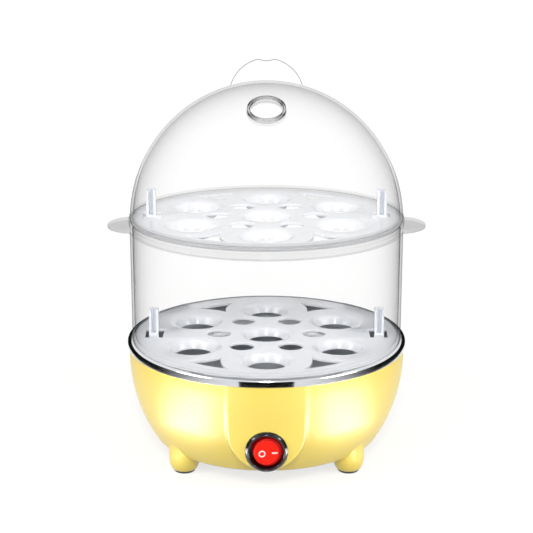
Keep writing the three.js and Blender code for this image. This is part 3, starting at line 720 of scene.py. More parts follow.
def ring_pattern():
    """Copies spaced evenly round the upright axis, each turned to face out."""
    made = Pattern("Ring of copies", [
        ("Source", "Object", None),
        ("Count", "Int", 6),
        ("Radius", "Float", 0.05),
        ("First angle", "Float", 0.0),
        ("Height", "Float", 0.0),
        ("Material", "Material", None),
    ])
    count = made.given["Count"]
    index = made.node("GeometryNodeInputIndex")
    angle = made.given["First angle"] + index * (TAU / count)
    radius = made.given["Radius"]
    spot = made.node("ShaderNodeCombineXYZ", None, {
        0: angle.maths("COSINE") * radius,
        1: angle.maths("SINE") * radius,
        2: made.given["Height"],
    })
    points = made.node("GeometryNodePoints", None, {"Count": count, "Position": spot})
    turn = made.node("ShaderNodeCombineXYZ", None, {2: angle})
    made.place(points, made.node("FunctionNodeEulerToRotation", None, {0: turn}))
    return made


def grid_pattern():
    """Copies in columns and rows centred on the upright axis."""
    made = Pattern("Grid of copies", [
        ("Source", "Object", None),
        ("Columns", "Int", 2),
        ("Rows", "Int", 2),
        ("Width", "Float", 0.1),
        ("Depth", "Float", 0.1),
        ("Material", "Material", None),
    ])
    sheet = made.node("GeometryNodeMeshGrid", None, {
        "Size X": made.given["Width"],
        "Size Y": made.given["Depth"],
        "Vertices X": made.given["Columns"],
        "Vertices Y": made.given["Rows"],
    })
    points = made.node("GeometryNodeMeshToPoints", None, {"Mesh": sheet})
    made.place(points, made.node("FunctionNodeEulerToRotation"))
    return made


PATTERNS = {}


def pattern(kind):
    if kind not in PATTERNS:
        PATTERNS[kind] = {"ring": ring_pattern, "grid": grid_pattern}[kind]()
    return PATTERNS[kind]


def ring_of(source, count, radius, first=0.0, height=0.0, slot="mark_print"):
    """Evenly spaced copies of source, which is removed; first is in degrees."""
    made = pattern("ring").run(source.name + "_ring", source=source, count=count,
                               radius=radius * MM, first_angle=math.radians(first),
                               height=height * MM, material=FINISHES[slot])
    bpy.data.objects.remove(source)
    return made


def grid_of(source, columns, rows, width, depth, slot="mark_print"):
    made = pattern("grid").run(source.name + "_grid", source=source, columns=columns,
                               rows=rows, width=width * MM, depth=depth * MM,
                               material=FINISHES[slot])
    bpy.data.objects.remove(source)
    return made


# ---- Shapes of the cooker --------------------------------------------------


def sizes():
    """Every size in millimetres, with the heights that the frame gives."""
    stored = bpy.context.scene.cooker_sizes
    s = SimpleNamespace()
    for name in CookerSizes.__annotations__:
        value = getattr(stored, name)
        setattr(s, name, value if name == "round_steps" else value / MM)
    s.housing_top = top_of("base_housing") / MM
    s.ring_low = bottom_of("trim_ring") / MM
    s.ring_top = top_of("trim_ring") / MM
    s.pan_low = bottom_of("heating_pan") / MM
    s.pan_top = top_of("heating_pan") / MM
    s.pan_radius = reach_of("heating_pan") / MM
    s.rack_radius = reach_of("egg_rack_lower") / MM
    s.rack_rise = (top_of("egg_rack_upper") - top_of("egg_rack_lower")) / MM
    s.rack_top = top_of("egg_rack_lower") / MM - s.post_height
    s.tier_low = bottom_of("steam_tier") / MM
    s.tier_top = top_of("steam_tier") / MM
    s.tier_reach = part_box("steam_tier")[1][0] / MM
    s.tier_radius = s.trim_radius - s.trim_head - 0.3
    s.lid_low = bottom_of("lid") / MM
    s.crown = s.lid_low + s.dome_height
    s.dome_middle = s.lid_low - 2.8
    s.boss_middle = s.switch_height + 9.5
    s.cover_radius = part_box("bottom_cover")[1][0] / MM
    s.cover_top = top_of("bottom_cover") / MM
    s.girth = s.trim_radius - s.bowl_inset
    s.girth_height = s.housing_top - s.bowl_shoulder
    narrowing = math.sqrt(1 - (s.bottom_radius / s.girth) ** 2)
    s.bowl_depth = (s.girth_height - s.bottom_height) / narrowing
    return s


def bowl_at(s, height):
    """The bowl's outside radius at a height."""
    return s.girth * math.sqrt(1 - ((s.girth_height - height) / s.bowl_depth) ** 2)


def spread(start, end, steps):
    return [start + (end - start) * i / steps for i in range(steps + 1)]


def smoothstep(x):
    x = min(1, max(0, x))
    return x * x * (3 - 2 * x)


def boss_outline(s, inset, steps=48):
    """The switch boss seen from the front: straight sides on a half circle."""
    half = s.boss_width - inset
    top = s.housing_top - inset
    curve = arc(0, s.boss_middle, half, 180, 360, steps)
    return [(half, top), (-half, top), *curve]


BOSS_REACH = 0.45     # radians from the front that the boss can reach
BOSS_START = 40       # radius in mm inside which the bottom stays flat
PANEL_CROWN = 320     # twice the radius in mm that the switch panel is curved to
BOSS_MERGE = 1.6      # how softly the panel grows out of the bowl


def boss_radius(s, radius, height, angle):
    """Moves the bowl's front out to the switch panel, with rounded sides."""
    lean = (angle + math.pi / 2 + math.pi) % TAU - math.pi
    if abs(lean) > BOSS_REACH or radius < BOSS_START:
        return radius
    out = s.boss_face / math.cos(lean)
    for _ in range(4):
        x = out * math.sin(lean)
        out = (s.boss_face - x * x / PANEL_CROWN) / math.cos(lean)
    x = out * math.sin(lean)
    below = min(0, height - s.boss_middle)
    depth = s.boss_width - math.hypot(x, below)
    proud = out - radius
    proud = (proud + math.sqrt(proud * proud + BOSS_MERGE)) / 2
    return radius + proud * smoothstep((depth + 0.8) / s.boss_blend)


def housing_angles(s):
    """Even steps round the bowl, and much finer ones at the switch boss."""
    half = math.radians(24)
    front = spread(-math.pi / 2 - half, -math.pi / 2 + half, 138)
    rest = spread(-math.pi / 2 + half, 3 * math.pi / 2 - half, s.round_steps * 2 // 3)
    return front + rest[1:-1]


def build_housing(s):
    lean = math.radians(32)
    touch = s.bottom_height + s.bottom_fillet * (1 - math.sin(lean))
    centre = bowl_at(s, touch) - s.bottom_fillet * math.cos(lean)
    corner = arc(centre, s.bottom_height + s.bottom_fillet, s.bottom_fillet, -90, -32, 8)
    side = [(bowl_at(s, z), z) for z in spread(touch, s.housing_top, 84)[1:]]
    profile = [(0, s.bottom_height), *corner, *side, (0, s.housing_top)]
    shell = turned("housing", profile, angles=housing_angles(s),
                   radius_at=lambda r, z, angle: boss_radius(s, r, z, angle))

    foot_top = s.bottom_height + 12
    heel = [(s.foot_radius - 3.2 + 3.2 * math.sin(a), 9.5 - 8.4 * math.cos(a))
            for a in spread(0, math.pi / 2, 12)]
    foot = turned("foot", [(0, 1.1), *heel, (s.foot_radius, foot_top), (0, foot_top)], 56)
    feet = grid_of(foot, 2, 2, *foot_spread(s))
    pad_end = bowl_at(s, s.gland_height) + 1.1
    gland_pad = turned("gland_pad", [(0, 55), (8, 55), *arc(7, pad_end - 1, 1, 0, 90, 4),
                                     (0, pad_end)], 56)
    moved(gland_pad, facing_back(s.gland_height))
    join(shell, feet, gland_pad)

    ledge = s.cover_top + 0.3
    floor = ledge + s.wall
    inside = [(bowl_at(s, z) - s.wall, z) for z in spread(floor + 2, s.housing_top, 30)]
    cavity = turned("cavity", [(0, floor), (inside[0][0] - 2, floor), *inside,
                               (inside[-1][0], s.housing_top + 1), (0, s.housing_top + 1)],
                    s.round_steps)
    room = prism("room", boss_outline(s, s.wall), 50, s.boss_face - 2.8)
    moved(room, facing_front(0))
    recess = bar("recess", s.cover_radius + 0.3, 0, ledge, s.round_steps)
    opening = bar("opening", s.cover_radius - 8, 5, floor + 1, s.round_steps)
    panel_hole = bar("panel_hole", s.switch_hole, 60, 90)
    moved(panel_hole, facing_front(s.switch_height))
    cord_hole = bar("cord_hole", 4.9, 50, 90, 40)
    moved(cord_hole, facing_back(s.gland_height))
    seats = grid_of(bar("seat", 6.3, -1, 1.9, 48), 2, 2, *foot_spread(s))
    cut(shell, cavity, room, recess, opening, panel_hole, cord_hole, seats)

    low = bottom_of("clamp_bar") / MM - 0.3
    bar_pillars = ring_of(tube("pillar", 1.8, 3.8, ledge, low, 32), 2, 50, 25)
    short = tube("short", 1.8, 3.8, ledge, floor + 9, 32)
    cover_pillars = grid_of(short, 2, 2, *screw_spread(s))
    join(shell, bar_pillars, cover_pillars)
    return finished(shell, "yellow_plastic", "base", "base_housing", smooth=40)


def corner_spread(pitch, degrees):
    """Width and depth between four corners that lie at an angle from the side."""
    angle = math.radians(degrees)
    return 2 * pitch * math.cos(angle), 2 * pitch * math.sin(angle)


def screw_spread(s):
    return corner_spread(s.screw_pitch, 55)


def foot_spread(s):
    return corner_spread(s.foot_pitch, 40)


def build_ring(s):
    """The polished steel band round the top of the bowl."""
    roll = s.trim_head
    inner = s.trim_radius - roll
    profile = [
        (s.trim_radius - s.trim_wall, s.ring_low),
        (s.trim_radius - 0.25, s.ring_low),
        (s.trim_radius, s.ring_low + 0.25),
        *arc(inner, s.ring_top - roll, roll, 0, 90, 12),
        (inner, s.pan_top + 0.3),
        (s.trim_radius - s.trim_wall, s.pan_top + 0.3),
    ]
    made = turned("steel_ring", profile, 2 * s.round_steps)
    return finished(made, "trim_steel", "base", "trim_ring", smooth=30)


def build_pan(s):
    """The water pan: a flat floor, a slanted wall and a flange at the top."""
    sheet = 0.8
    mouth = s.rack_radius - 4.7
    floor = mouth - 8.3
    low, top = s.pan_low, s.pan_top
    profile = [
        (0, low),
        (floor - 3, low),
        *arc(floor - 3, low + 3, 3, -88, -12, 8),
        (mouth - 0.6, top - sheet - 0.9),
        (mouth + 0.4, top - sheet),
        (s.pan_radius, top - sheet),
        (s.pan_radius, top),
        (mouth - 0.3, top),
        (mouth - sheet - 0.6, top - 1),
        *arc(floor - 3, low + 3, 3 - sheet, -12, -88, 8),
        (floor - 3, low + sheet),
        (0, low + sheet),
    ]
    made = turned("water_pan", profile, s.round_steps)
    return finished(made, "pan_steel", "base", "heating_pan", smooth=30)


def build_cover(s):
    """The black cover under the base, its vent slots and its screws."""
    low, top, edge = s.bottom_height, s.cover_top, s.cover_radius
    groove = edge - 21
    plate = turned("cover", [
        (0, low), (groove - 1, low), (groove - 0.5, low + 0.4), (groove + 0.5, low + 0.4),
        (groove + 1, low), (edge - 0.6, low), (edge, low + 0.6), (edge, top), (0, top),
    ], s.round_steps)
    slot = prism("slot", capsule(6.7, 1.3, 8), low - 1, top + 1)
    hole = bar("hole", 1.8, low - 1, top + 1, 32)
    cut(plate, grid_of(slot, 2, 5, 22.4, 36), grid_of(hole, 2, 2, *screw_spread(s)))
    finished(plate, "cover_plastic", "base", "bottom_cover")

    seat = low - 0.3
    head = turned("screw", [(0, seat - 1.5), *arc(2.1, seat - 0.6, 0.9, -90, 0, 6), (3, seat),
                            (1.5, seat), (1.5, seat + 12), (0, seat + 12)], 40)
    for turn in (0, 90):
        wing = prism("wing", [(-1.7, -0.28), (1.7, -0.28), (1.7, 0.28), (-1.7, 0.28)],
                     seat - 3, seat - 0.7)
        moved(wing, Matrix.Rotation(math.radians(turn + 20), 4, "Z"))
        cut(head, wing)
    screws = grid_of(head, 2, 2, *screw_spread(s))
    screws.name = "cover_screws"
    finished(screws, "zinc_steel", "base", *[f"cover_screw_{i}" for i in (1, 2, 3, 4)])


def build_pads(s):
    pad = turned("pad", [(0, 0.5), (3.6, 0.5), (4, 0), (5.5, 0), (6, 0.5), (6, 1.6), (0, 1.6)], 64)
    pads = grid_of(pad, 2, 2, *foot_spread(s))
    pads.name = "foot_pads"
    finished(pads, "pad_rubber", "base", *[f"foot_pad_{i}" for i in (1, 2, 3, 4)])


def build_gland(s):
    """The rubber sleeve that the mains cord would pass through."""
    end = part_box("cord_gland")[1][1] / MM
    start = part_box("cord_gland")[0][1] / MM
    flange = end - 2.6
    made = turned("gland", [
        (3.3, start), (4.6, start), (4.6, flange), (6.6, flange), (6.6, flange + 1),
        *arc(6.0, flange + 1.2, 0.6, 0, 90, 5), (5.2, flange + 1.8), (5.0, flange + 1.5),
        (4.8, flange + 1.8), *arc(4.1, end - 0.5, 0.5, 0, 90, 4), (3.6, end), (3.3, end - 0.3),
    ], 64)
    moved(made, facing_back(s.gland_height))
    return finished(made, "gland_rubber", "base", "cord_gland")


def build_bezel(s):
    """The glossy collar round the switch."""
    face = s.boss_face
    made = turned("bezel", [
        (9.1, face - 0.1), (10.0, face - 0.1), (10.0, face - 0.6), (11.3, face - 0.6),
        (11.5, face - 0.4), (11.5, face + 0.35), (11.35, face + 0.6), (10.35, face + 1.95),
        (10.1, face + 2.12), (9.7, face + 2.15), (9.45, face + 2.0), (9.15, face + 1.4),
        (9.1, face + 1.2),
    ], s.round_steps)
    moved(made, facing_front(s.switch_height))
    return finished(made, "black_plastic", "base", "switch_bezel", smooth=45)


def build_rocker(s):
    """The red rocker, its two marks and its tilt to the side that is pressed."""
    pivot = s.boss_face - 5.2
    face = s.boss_face + 1.1
    tilt = (at(0, -pivot, 0) @ Matrix.Rotation(math.radians(9), 4, "Z") @ at(0, pivot, 0)
            @ facing_front(s.switch_height))
    button = turned("rocker", [
        (0, pivot - 2), (7, pivot - 2), (8, pivot - 1), (8, face - 1.35),
        *arc(6.9, face - 1.2, 1.1, 8, 82, 8), (6.2, face), (5.0, face - 0.03),
        (3.0, face - 0.1), (0, face - 0.14),
    ], 96)
    moved(button, tilt)
    pin = bar("pin", 1.2, -9.6, 9.6, 32)
    moved(pin, at(0, -pivot, s.switch_height))
    join(button, pin)
    finished(button, "red_plastic", "rocker", "switch_rocker")

    ring = tube("mark_off", 1.2, 1.85, face - 0.3, face + 0.04, 64)
    moved(ring, tilt @ at(-3.4, -0.6, 0))
    finished(ring, "mark_print", "rocker")
    dash = prism("mark_on", capsule(1.2, 0.4, 6), face - 0.3, face + 0.04)
    moved(dash, tilt @ at(3.5, -0.5, 0))
    finished(dash, "mark_print", "rocker")


def window_cutter(s, top):
    """A window between two wells: a sector less a margin round each well."""
    near = s.well_pitch * math.cos(math.pi / 6)
    outline = arc(0, 0, s.window_radius, -24, 24, 24) + arc(0, 0, near, 24, -24, 12)
    sector = prism("window", outline, top - 4, top + 2)
    for side in (-1, 1):
        angle = side * math.pi / 6
        margin = bar("margin", s.window_margin, top - 5, top + 3, 128)
        moved(margin, at(s.well_pitch * math.cos(angle), s.well_pitch * math.sin(angle), 0))
        cut(sector, margin)
    return sector


def lifting_post(s, side, top):
    """A hollow upright that the rack is lifted by, open towards the switch."""
    x, width, depth = side * s.post_radius, 5.3, 6.0
    outline = [(-width / 2, -depth / 2), (-width / 2 + 1.3, -depth / 2),
               (-width / 2 + 1.3, 1.2), *arc(0, 1.2, 1.35, 180, 0, 8)[1:-1],
               (width / 2 - 1.3, 1.2), (width / 2 - 1.3, -depth / 2), (width / 2, -depth / 2),
               *arc(width / 2 - 1.2, depth / 2 - 1.2, 1.2, 0, 90, 5),
               *arc(1.2 - width / 2, depth / 2 - 1.2, 1.2, 90, 180, 5)]
    post = prism("post", outline, top - 0.75, top + s.post_height)
    floor = prism("post_floor", [(-2, -2.8), (2, -2.8), (2, 2), (-2, 2)], top - 0.7, top + 0.8)
    join(post, floor)
    return moved(post, at(x, 0, 0))


def post_slots(s, side, top):
    """The two tapered slots beside a lifting post."""
    inner = s.post_radius - 3.65
    outer = s.post_radius + 3.65
    shapes = [
        [(inner - 1.8, 8), (inner - 1.8, -8), (inner + 0.3, -8), (inner + 2, 8)],
        [(outer + 0.4, 8), (outer - 1.3, -8), (outer + 1, -8), (outer + 1.5, 8)],
    ]
    return [prism("post_slot", [(side * x, y) for x, y in shape], top - 4, top + 2)
            for shape in shapes]


def well_cup(s, top):
    """The outside of a well, under the plate."""
    low = top - 1.5
    return turned("cup", [
        (0, top - 5.5), (s.well_opening + 1.0, top - 5.5), (s.well_opening + 1.3, top - 5.2),
        (s.well_seat + 1.3, low), (s.well_seat + 1.8, low + 0.6), (0, low + 0.6),
    ], 80)


def well_bowl(s, top):
    """The hollow of a well, with the rounded seat that the egg rests on."""
    return turned("bowl", [
        (0, top - 7), (s.well_opening + 0.3, top - 7), (s.well_opening + 0.1, top - 5.45),
        (s.well_opening + 0.15, top - 5.2), (s.well_opening + 1.2, top - 3.4),
        (s.well_seat, top - 1.15), (s.well_seat + 0.35, top - 0.85),
        (s.well_seat + 1.1, top - 0.55), (s.well_seat + 2.1, top - 0.25),
        (s.well_mouth - 0.4, top - 0.05), (s.well_mouth, top + 0.02),
        (s.well_mouth, top + 2), (0, top + 2),
    ], 80)


def build_racks(s):
    """Both egg racks: a plate with seven wells, steam holes and windows."""
    top = s.rack_top
    low = top - 1.5
    edge = s.rack_radius
    plate = turned("egg_rack", [(0, low), (edge - 0.3, low), (edge, low + 0.3),
                                *arc(edge - 0.6, top - 0.6, 0.6, 0, 90, 5), (0, top)],
                   s.round_steps)
    join(plate, well_cup(s, top), ring_of(well_cup(s, top), 6, s.well_pitch, 30))
    join(plate, lifting_post(s, 1, top), lifting_post(s, -1, top))

    steam_pitch = s.well_pitch / math.sqrt(3)
    steam = steam_pitch - s.well_mouth - 4.1
    hole = turned("hole", [(0, top - 4), (steam, top - 4), (steam, top - 0.35),
                           (steam + 0.3, top + 0.02), (steam + 0.3, top + 2), (0, top + 2)], 64)
    cut(plate, well_bowl(s, top), ring_of(well_bowl(s, top), 6, s.well_pitch, 30),
        ring_of(hole, 6, steam_pitch),
        ring_of(window_cutter(s, top), 2, 0, 60),
        ring_of(window_cutter(s, top), 2, 0, 120),
        *post_slots(s, 1, top), *post_slots(s, -1, top))
    plate.name = "rack_lower"
    upper = placed("rack_upper", plate.data.copy())
    moved(upper, at(0, 0, s.rack_rise))
    finished(plate, "rack_plastic", "lower_rack", "egg_rack_lower", smooth=38)
    finished(upper, "rack_plastic", "upper_rack", "egg_rack_upper", smooth=38)


def build_tier(s):
    """The clear wall between the racks, its flange and its two ears."""
    inside = s.tier_radius - s.tier_wall
    proud = s.tier_radius + 0.5
    foot = s.tier_top - 6.6
    shelf = s.rack_top + s.rack_rise - 1.8
    rim = s.rack_radius + 0.3
    wall = turned("tier", [
        (inside - 0.6, s.tier_low), (s.tier_radius - 0.3, s.tier_low),
        (s.tier_radius, s.tier_low + 0.3), (s.tier_radius, foot),
        *arc(proud - 0.4, foot + 0.4, 0.4, -90, 0, 3), *arc(proud - 0.4, foot + 2.4, 0.4, 0, 90, 3),
        (s.tier_radius, foot + 2.9), (s.tier_radius, foot + 3.3),
        *arc(proud - 0.4, foot + 3.8, 0.4, -90, 0, 3),
        *arc(proud - 0.4, s.tier_top - 0.4, 0.4, 0, 90, 4),
        (rim, s.tier_top), (rim, shelf), (inside - 2.3, shelf), (inside - 2.3, shelf - 1.2),
        (inside, shelf - 4), (inside, s.tier_low + 2), (inside - 0.8, s.tier_low + 1.4),
        (inside - 0.8, s.tier_low + 0.2),
    ], s.round_steps)
    thick = 2.2
    for side in (1, -1):
        ear = turned("ear", [(0, foot), (s.ear_radius - 0.5, foot),
                             *arc(s.ear_radius - 0.6, foot + 0.6, 0.6, -80, 0, 4),
                             *arc(s.ear_radius - 0.6, foot + thick - 0.6, 0.6, 0, 90, 4),
                             (0, foot + thick)], 96)
        moved(ear, at(side * (s.tier_reach - s.ear_radius), 0, 0))
        middle = bar("middle", s.tier_radius - 0.5, foot - 1, foot + 4, s.round_steps)
        join(wall, cut(ear, middle))
    return finished(wall, "clear_plastic", "tier", "steam_tier", smooth=40)


def dome(s, inset, start, steps):
    """The lid's side from a height up to its crown, moved in by a wall."""
    rise = s.crown - s.dome_middle - inset
    first = math.asin((start - s.dome_middle) / rise)
    across = s.tier_radius - 0.2 - inset
    points = []
    for angle in spread(first, math.pi / 2, steps):
        points.append((across * math.cos(angle), s.dome_middle + rise * math.sin(angle)))
    points[-1] = (0, points[-1][1])
    return points


def rounded(made, width, segments=3):
    """Rounds the object's sharp edges."""
    step = made.modifiers.new("Round", "BEVEL")
    step.width = width * MM
    step.segments = segments
    step.limit_method = "ANGLE"
    step.angle_limit = math.radians(50)
    return evaluated(made)


def tab_outline(s):
    """The finger tab: a disc with a shallow dip between two peaks."""
    middle = s.crown - 8
    r = s.tab_radius
    dip = math.sin(math.radians(13)) * r
    peak = middle + r * math.cos(math.radians(13))
    valley = middle + r - 1.4
    curve = arc(0, middle, r, 103, 437, 90)
    hollow = [(x * dip, valley + (peak - valley) * x ** 2 * (2 - abs(x)))
              for x in spread(1, -1, 12)[1:-1]]
    return curve + hollow


def vent_place(s):
    """The vent's centre on the dome, and its tilt from the top towards the switch."""
    tilt = math.radians(VENT_TILT)
    height = s.dome_middle + (s.crown - s.dome_middle) * math.cos(tilt)
    return (0, -(s.tier_radius - 0.2) * math.sin(tilt), height), tilt


def build_lid(s):
    """The clear dome, its finger tab and its steam vent."""
    low, lip = s.lid_low, 1.6
    outer = turned("lid", [
        (0, low), (s.tier_radius - 0.3, low), (s.tier_radius, low + 0.3),
        *arc(s.tier_radius - 0.4, low + lip - 0.4, 0.4, 0, 80, 4),
        *dome(s, 0, low + lip + 0.2, 56),
    ], s.round_steps)
    cavity = turned("cavity", [(0, low - 1), (s.tier_radius - 1.7, low - 1),
                               *dome(s, 1.5, low, 48)], s.round_steps)
    tab = prism("tab", tab_outline(s), -1.5, 1.5)
    moved(rounded(tab, 1.1), facing_front(0))
    centre, tilt = vent_place(s)
    place = at(*centre) @ Matrix.Rotation(tilt, 4, "X")
    rim = turned("rim", [(0, -3), (s.vent_radius + 0.3, -3), (s.vent_radius, 0.6),
                         *arc(s.vent_radius - 0.5, 1.5, 0.5, 0, 90, 5), (0, 2)], 80)
    bore = turned("bore", [(0, -9), (s.vent_bore, -9), (s.vent_bore, 1.6),
                           (s.vent_bore + 0.4, 2.01), (s.vent_bore + 0.4, 4), (0, 4)], 80)
    join(outer, tab, moved(rim, place))
    cut(outer, cavity, moved(bore, place))
    return finished(outer, "clear_plastic", "lid", "lid", smooth=40)


# ---- Stage -----------------------------------------------------------------


def aim(made, place, target):
    made.location = place
    made.rotation_euler = (Vector(target) - Vector(place)).to_track_quat("-Z", "Y").to_euler()


def soft_light(name, place, target, size, power, shade):
    data = bpy.data.lights.new(name, "AREA")
    data.color = shade
    data.shape = "RECTANGLE"
    data.size, data.size_y = size
    data.energy = power
    aim(placed(name, data), place, target)


def screen_finish():
    """A dark screen, lit on both sides of its black middle."""
    made = Finish("screen", (0, 0, 0), 1, Emission_Strength=1)
    made.set("Specular IOR Level", 0)
    x, y, z = made.parts(made.place)
    round_about = x.size().maths("ARCTAN2", 0 - y)
    lit = round_about.above(0.315) * (1 - round_about.ramp(0.3, 1.5))
    shade = made.blend(lit, (0.004, 0.004, 0.004), (0.95, 0.95, 0.96))
    made.set("Emission Color", shade)
    return made


def only_reflections(name, points, faces, finish):
    """A stage surface that is seen in reflections and nowhere else."""
    mesh = bpy.data.meshes.new(name)
    mesh.from_pydata(points, [], faces)
    mesh.materials.append(finish.material)
    made = placed(name, mesh)
    made.visible_camera = False
    made.visible_shadow = False
    made.visible_diffuse = False
    made.visible_transmission = False


def reflection_screen(radius, high):
    """A round screen that only reflections see."""
    steps = 96
    points = []
    for i in range(steps + 1):
        angle = -math.pi / 2 + math.radians(165) * (2 * i / steps - 1)
        for z in (0.0, high):
            points.append((radius * math.cos(angle), radius * math.sin(angle), z))
    faces = [(2 * i, 2 * i + 1, 2 * i + 3, 2 * i + 2) for i in range(steps)]
    only_reflections("screen", points, faces, screen_finish())


def glow_card(side):
    """A soft bright patch beside the bowl that only glossy surfaces see."""
    glow = Finish("glow", (0, 0, 0), 1, Emission_Strength=13)
    x, y, z = glow.parts(glow.place)
    turn = (0 - y).maths("ARCTAN2", x.size())
    lit = turn.ramp(0.12, 0.78) * (1 - turn.ramp(0.78, 1.25))
    glow.set("Emission Color", glow.blend(lit, (0.08, 0.08, 0.08), (1, 1, 1)))
    points = []
    for degrees in spread(2, 68, 12):
        angle = math.radians(degrees)
        for radius in (0.094, 0.225):
            points.append((side * radius * math.cos(angle), -radius * math.sin(angle), 0.0006))
    faces = [(2 * i, 2 * i + 1, 2 * i + 3, 2 * i + 2) for i in range(12)]
    only_reflections("glow_card", points, faces, glow)


STAGE_STEPS = 96
FLAT_RADIUS = 1.5     # the floor is flat to here, then bends up into a wall
BEND_RADIUS = 1.0
WALL_TOP = 4.0
WARM = (1.0, 0.95, 0.92)
# Each light's name, place, target, size, power in watts and colour.
LIGHTS = (
    ("left_box", (-0.80, -0.42, 0.45), (0, 0, 0.05), (0.45, 0.44), 4.6, WARM),
    ("right_box", (0.80, -0.42, 0.45), (0, 0, 0.05), (0.45, 0.44), 4.6, WARM),
    ("front_box", (0, -1.3, 0.95), (0, 0, 0.09), (0.12, 0.5), 11, WHITE),
    ("top_box", (0, 0.1, 1.5), (0, 0, 0), (1.4, 1.4), 1.5, WHITE),
)
SKY_STRENGTH = 0.32
FOCAL_LENGTH = 89.84
CAMERA_PLACE = (0, -0.7350, 0.3042)
CAMERA_TARGET = (0, 0, 0.1084)


def build_floor():
    """A round floor that bends up into a wall all round."""
    rows = [(FLAT_RADIUS, 0.0)]
    rows += [(FLAT_RADIUS + BEND_RADIUS * math.sin(a), BEND_RADIUS - BEND_RADIUS * math.cos(a))
             for a in spread(0.1, math.pi / 2, 12)]
    rows.append((FLAT_RADIUS + BEND_RADIUS, WALL_TOP))
    points = [(0.0, 0.0, 0.0)]
    for radius, height in rows:
        points += [(radius * math.cos(a), radius * math.sin(a), height)
                   for a in spread(0, TAU, STAGE_STEPS)[:-1]]
    faces = [(0, i + 1, (i + 1) % STAGE_STEPS + 1) for i in range(STAGE_STEPS)]
    for row in range(len(rows) - 1):
        low = 1 + row * STAGE_STEPS
        for i in range(STAGE_STEPS):
            j = (i + 1) % STAGE_STEPS
            faces.append((low + i, low + STAGE_STEPS + i, low + STAGE_STEPS + j, low + j))
    mesh = bpy.data.meshes.new("floor")
    mesh.from_pydata(points, [], faces)
    mesh.materials.append(FINISHES["pale_floor"])
    mesh.shade_smooth()
    floor = placed("floor", mesh)
    floor.visible_diffuse = False


def build_stage():
    scene = bpy.context.scene
    build_floor()
    reflection_screen(radius=0.24, high=0.14)
    for side in (-1, 1):
        glow_card(side)
    for light in LIGHTS:
        soft_light(*light)

    world = bpy.data.worlds.new("studio")
    world.use_nodes = True
    sky = Graph(world.node_tree)
    sky.tree.nodes.clear()
    light = sky.node("ShaderNodeBackground", None, {"Color": WHITE, "Strength": SKY_STRENGTH})
    sky.make("ShaderNodeOutputWorld", None, {"Surface": light})
    scene.world = world

    lens = bpy.data.cameras.new("camera")
    lens.lens = FOCAL_LENGTH
    lens.sensor_width = 36
    camera = placed("camera", lens)
    aim(camera, CAMERA_PLACE, CAMERA_TARGET)
    scene.camera = camera
    scene.view_settings.view_transform = "Standard"
    scene.view_settings.look = "None"


# ---- Operators and panel ---------------------------------------------------


def prepared(context):
    """Makes the finishes on first use, and gives the sizes."""
    if not FINISHES:
        make_finishes(context.scene.cooker_colours)
    return sizes()


class COOKER_OT_housing(bpy.types.Operator):
    """Build the yellow base with its feet and switch boss"""

    bl_idname = "cooker.housing"
    bl_label = "Housing"

    def execute(self, context):
        build_housing(prepared(context))
        return {"FINISHED"}


class COOKER_OT_underside(bpy.types.Operator):
    """Build the bottom cover, its screws, the foot pads and the cord gland"""

    bl_idname = "cooker.underside"
    bl_label = "Underside"

    def execute(self, context):
        s = prepared(context)
        build_cover(s)
        build_pads(s)
        build_gland(s)
        return {"FINISHED"}


class COOKER_OT_heater(bpy.types.Operator):
    """Build the steel ring and the water pan, and finish the parts under it"""

    bl_idname = "cooker.heater"
    bl_label = "Ring, pan and heater"

    def execute(self, context):
        s = prepared(context)
        build_ring(s)
        build_pan(s)
        paint("silicone", "pan_gasket")
        paint("aluminium", "heat_spreader", "heating_element")
        paint("ceramic", "element_bush_1", "element_bush_2")
        paint("zinc_steel", "clamp_bar", "clamp_screw_1", "clamp_screw_2", "fuse_clip",
              "earth_stud")
        paint("brass", "thermostat")
        paint("sleeve", "thermal_fuse")
        return {"FINISHED"}


class COOKER_OT_wiring(bpy.types.Operator):
    """Finish the cord clamp, the terminal block and the inner leads"""

    bl_idname = "cooker.wiring"
    bl_label = "Wiring"

    def execute(self, context):
        prepared(context)
        paint("cover_plastic", "cord_clamp")
        paint("zinc_steel", "cord_clamp_screw_1", "cord_clamp_screw_2")
        paint("terminal_plastic", "terminal_block")
        paint("lead_brown", "lead_live", "lead_switched", "lead_thermostat")
        paint("lead_blue", "lead_neutral", "lead_fuse")
        paint("lead_green", "lead_earth")
        return {"FINISHED"}


class COOKER_OT_switch(bpy.types.Operator):
    """Build the switch's collar and rocker, and finish its body"""

    bl_idname = "cooker.switch"
    bl_label = "Switch"

    def execute(self, context):
        s = prepared(context)
        build_bezel(s)
        build_rocker(s)
        paint("black_plastic", "switch_body")
        paint("lamp_glass", "switch_lamp")
        paint("brass", "switch_blade_1", "switch_blade_2", "switch_blade_3")
        return {"FINISHED"}


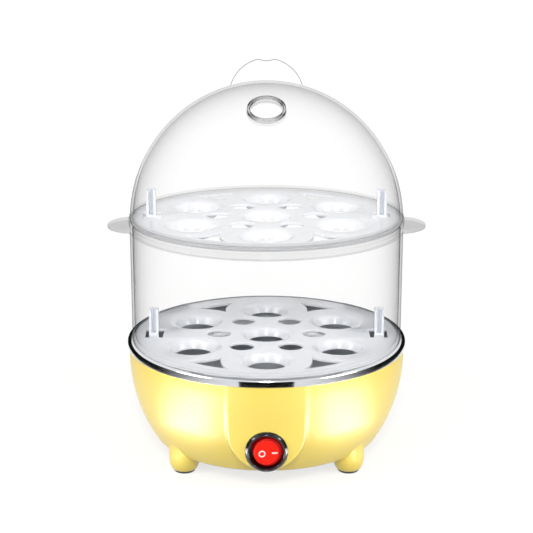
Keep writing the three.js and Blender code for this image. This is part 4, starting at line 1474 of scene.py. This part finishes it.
class COOKER_OT_racks(bpy.types.Operator):
    """Build the two egg racks"""

    bl_idname = "cooker.racks"
    bl_label = "Egg racks"

    def execute(self, context):
        build_racks(prepared(context))
        return {"FINISHED"}


class COOKER_OT_tier(bpy.types.Operator):
    """Build the clear steam tier"""

    bl_idname = "cooker.tier"
    bl_label = "Steam tier"

    def execute(self, context):
        build_tier(prepared(context))
        return {"FINISHED"}


class COOKER_OT_lid(bpy.types.Operator):
    """Build the clear lid"""

    bl_idname = "cooker.lid"
    bl_label = "Lid"

    def execute(self, context):
        build_lid(prepared(context))
        return {"FINISHED"}


class COOKER_OT_stage(bpy.types.Operator):
    """Set up the floor, the lights and the camera"""

    bl_idname = "cooker.stage"
    bl_label = "Stage"

    def execute(self, context):
        prepared(context)
        build_stage()
        return {"FINISHED"}


STEPS = (COOKER_OT_housing, COOKER_OT_underside, COOKER_OT_heater, COOKER_OT_wiring,
         COOKER_OT_switch, COOKER_OT_racks, COOKER_OT_tier, COOKER_OT_lid, COOKER_OT_stage)


class COOKER_PT_panel(bpy.types.Panel):
    """Lists the sizes, the colours and the pieces"""

    bl_idname = "COOKER_PT_panel"
    bl_label = "Egg cooker"
    bl_space_type = "VIEW_3D"
    bl_region_type = "UI"
    bl_category = "Egg cooker"

    def draw(self, context):
        for group in (context.scene.cooker_colours, context.scene.cooker_sizes):
            for name in group.__annotations__:
                self.layout.prop(group, name)
        for step in STEPS:
            self.layout.operator(step.bl_idname, text=step.bl_label)


CLASSES = (CookerSizes, CookerColours, *STEPS, COOKER_PT_panel)


def register():
    for one in CLASSES:
        bpy.utils.register_class(one)
    bpy.types.Scene.cooker_sizes = bpy.props.PointerProperty(type=CookerSizes)
    bpy.types.Scene.cooker_colours = bpy.props.PointerProperty(type=CookerColours)


def unregister():
    del bpy.types.Scene.cooker_colours
    del bpy.types.Scene.cooker_sizes
    for one in reversed(CLASSES):
        bpy.utils.unregister_class(one)


def main():
    register()
    for step in STEPS:
        group, name = step.bl_idname.split(".")
        getattr(getattr(bpy.ops, group), name)()


if __name__ == "__main__":
    main()
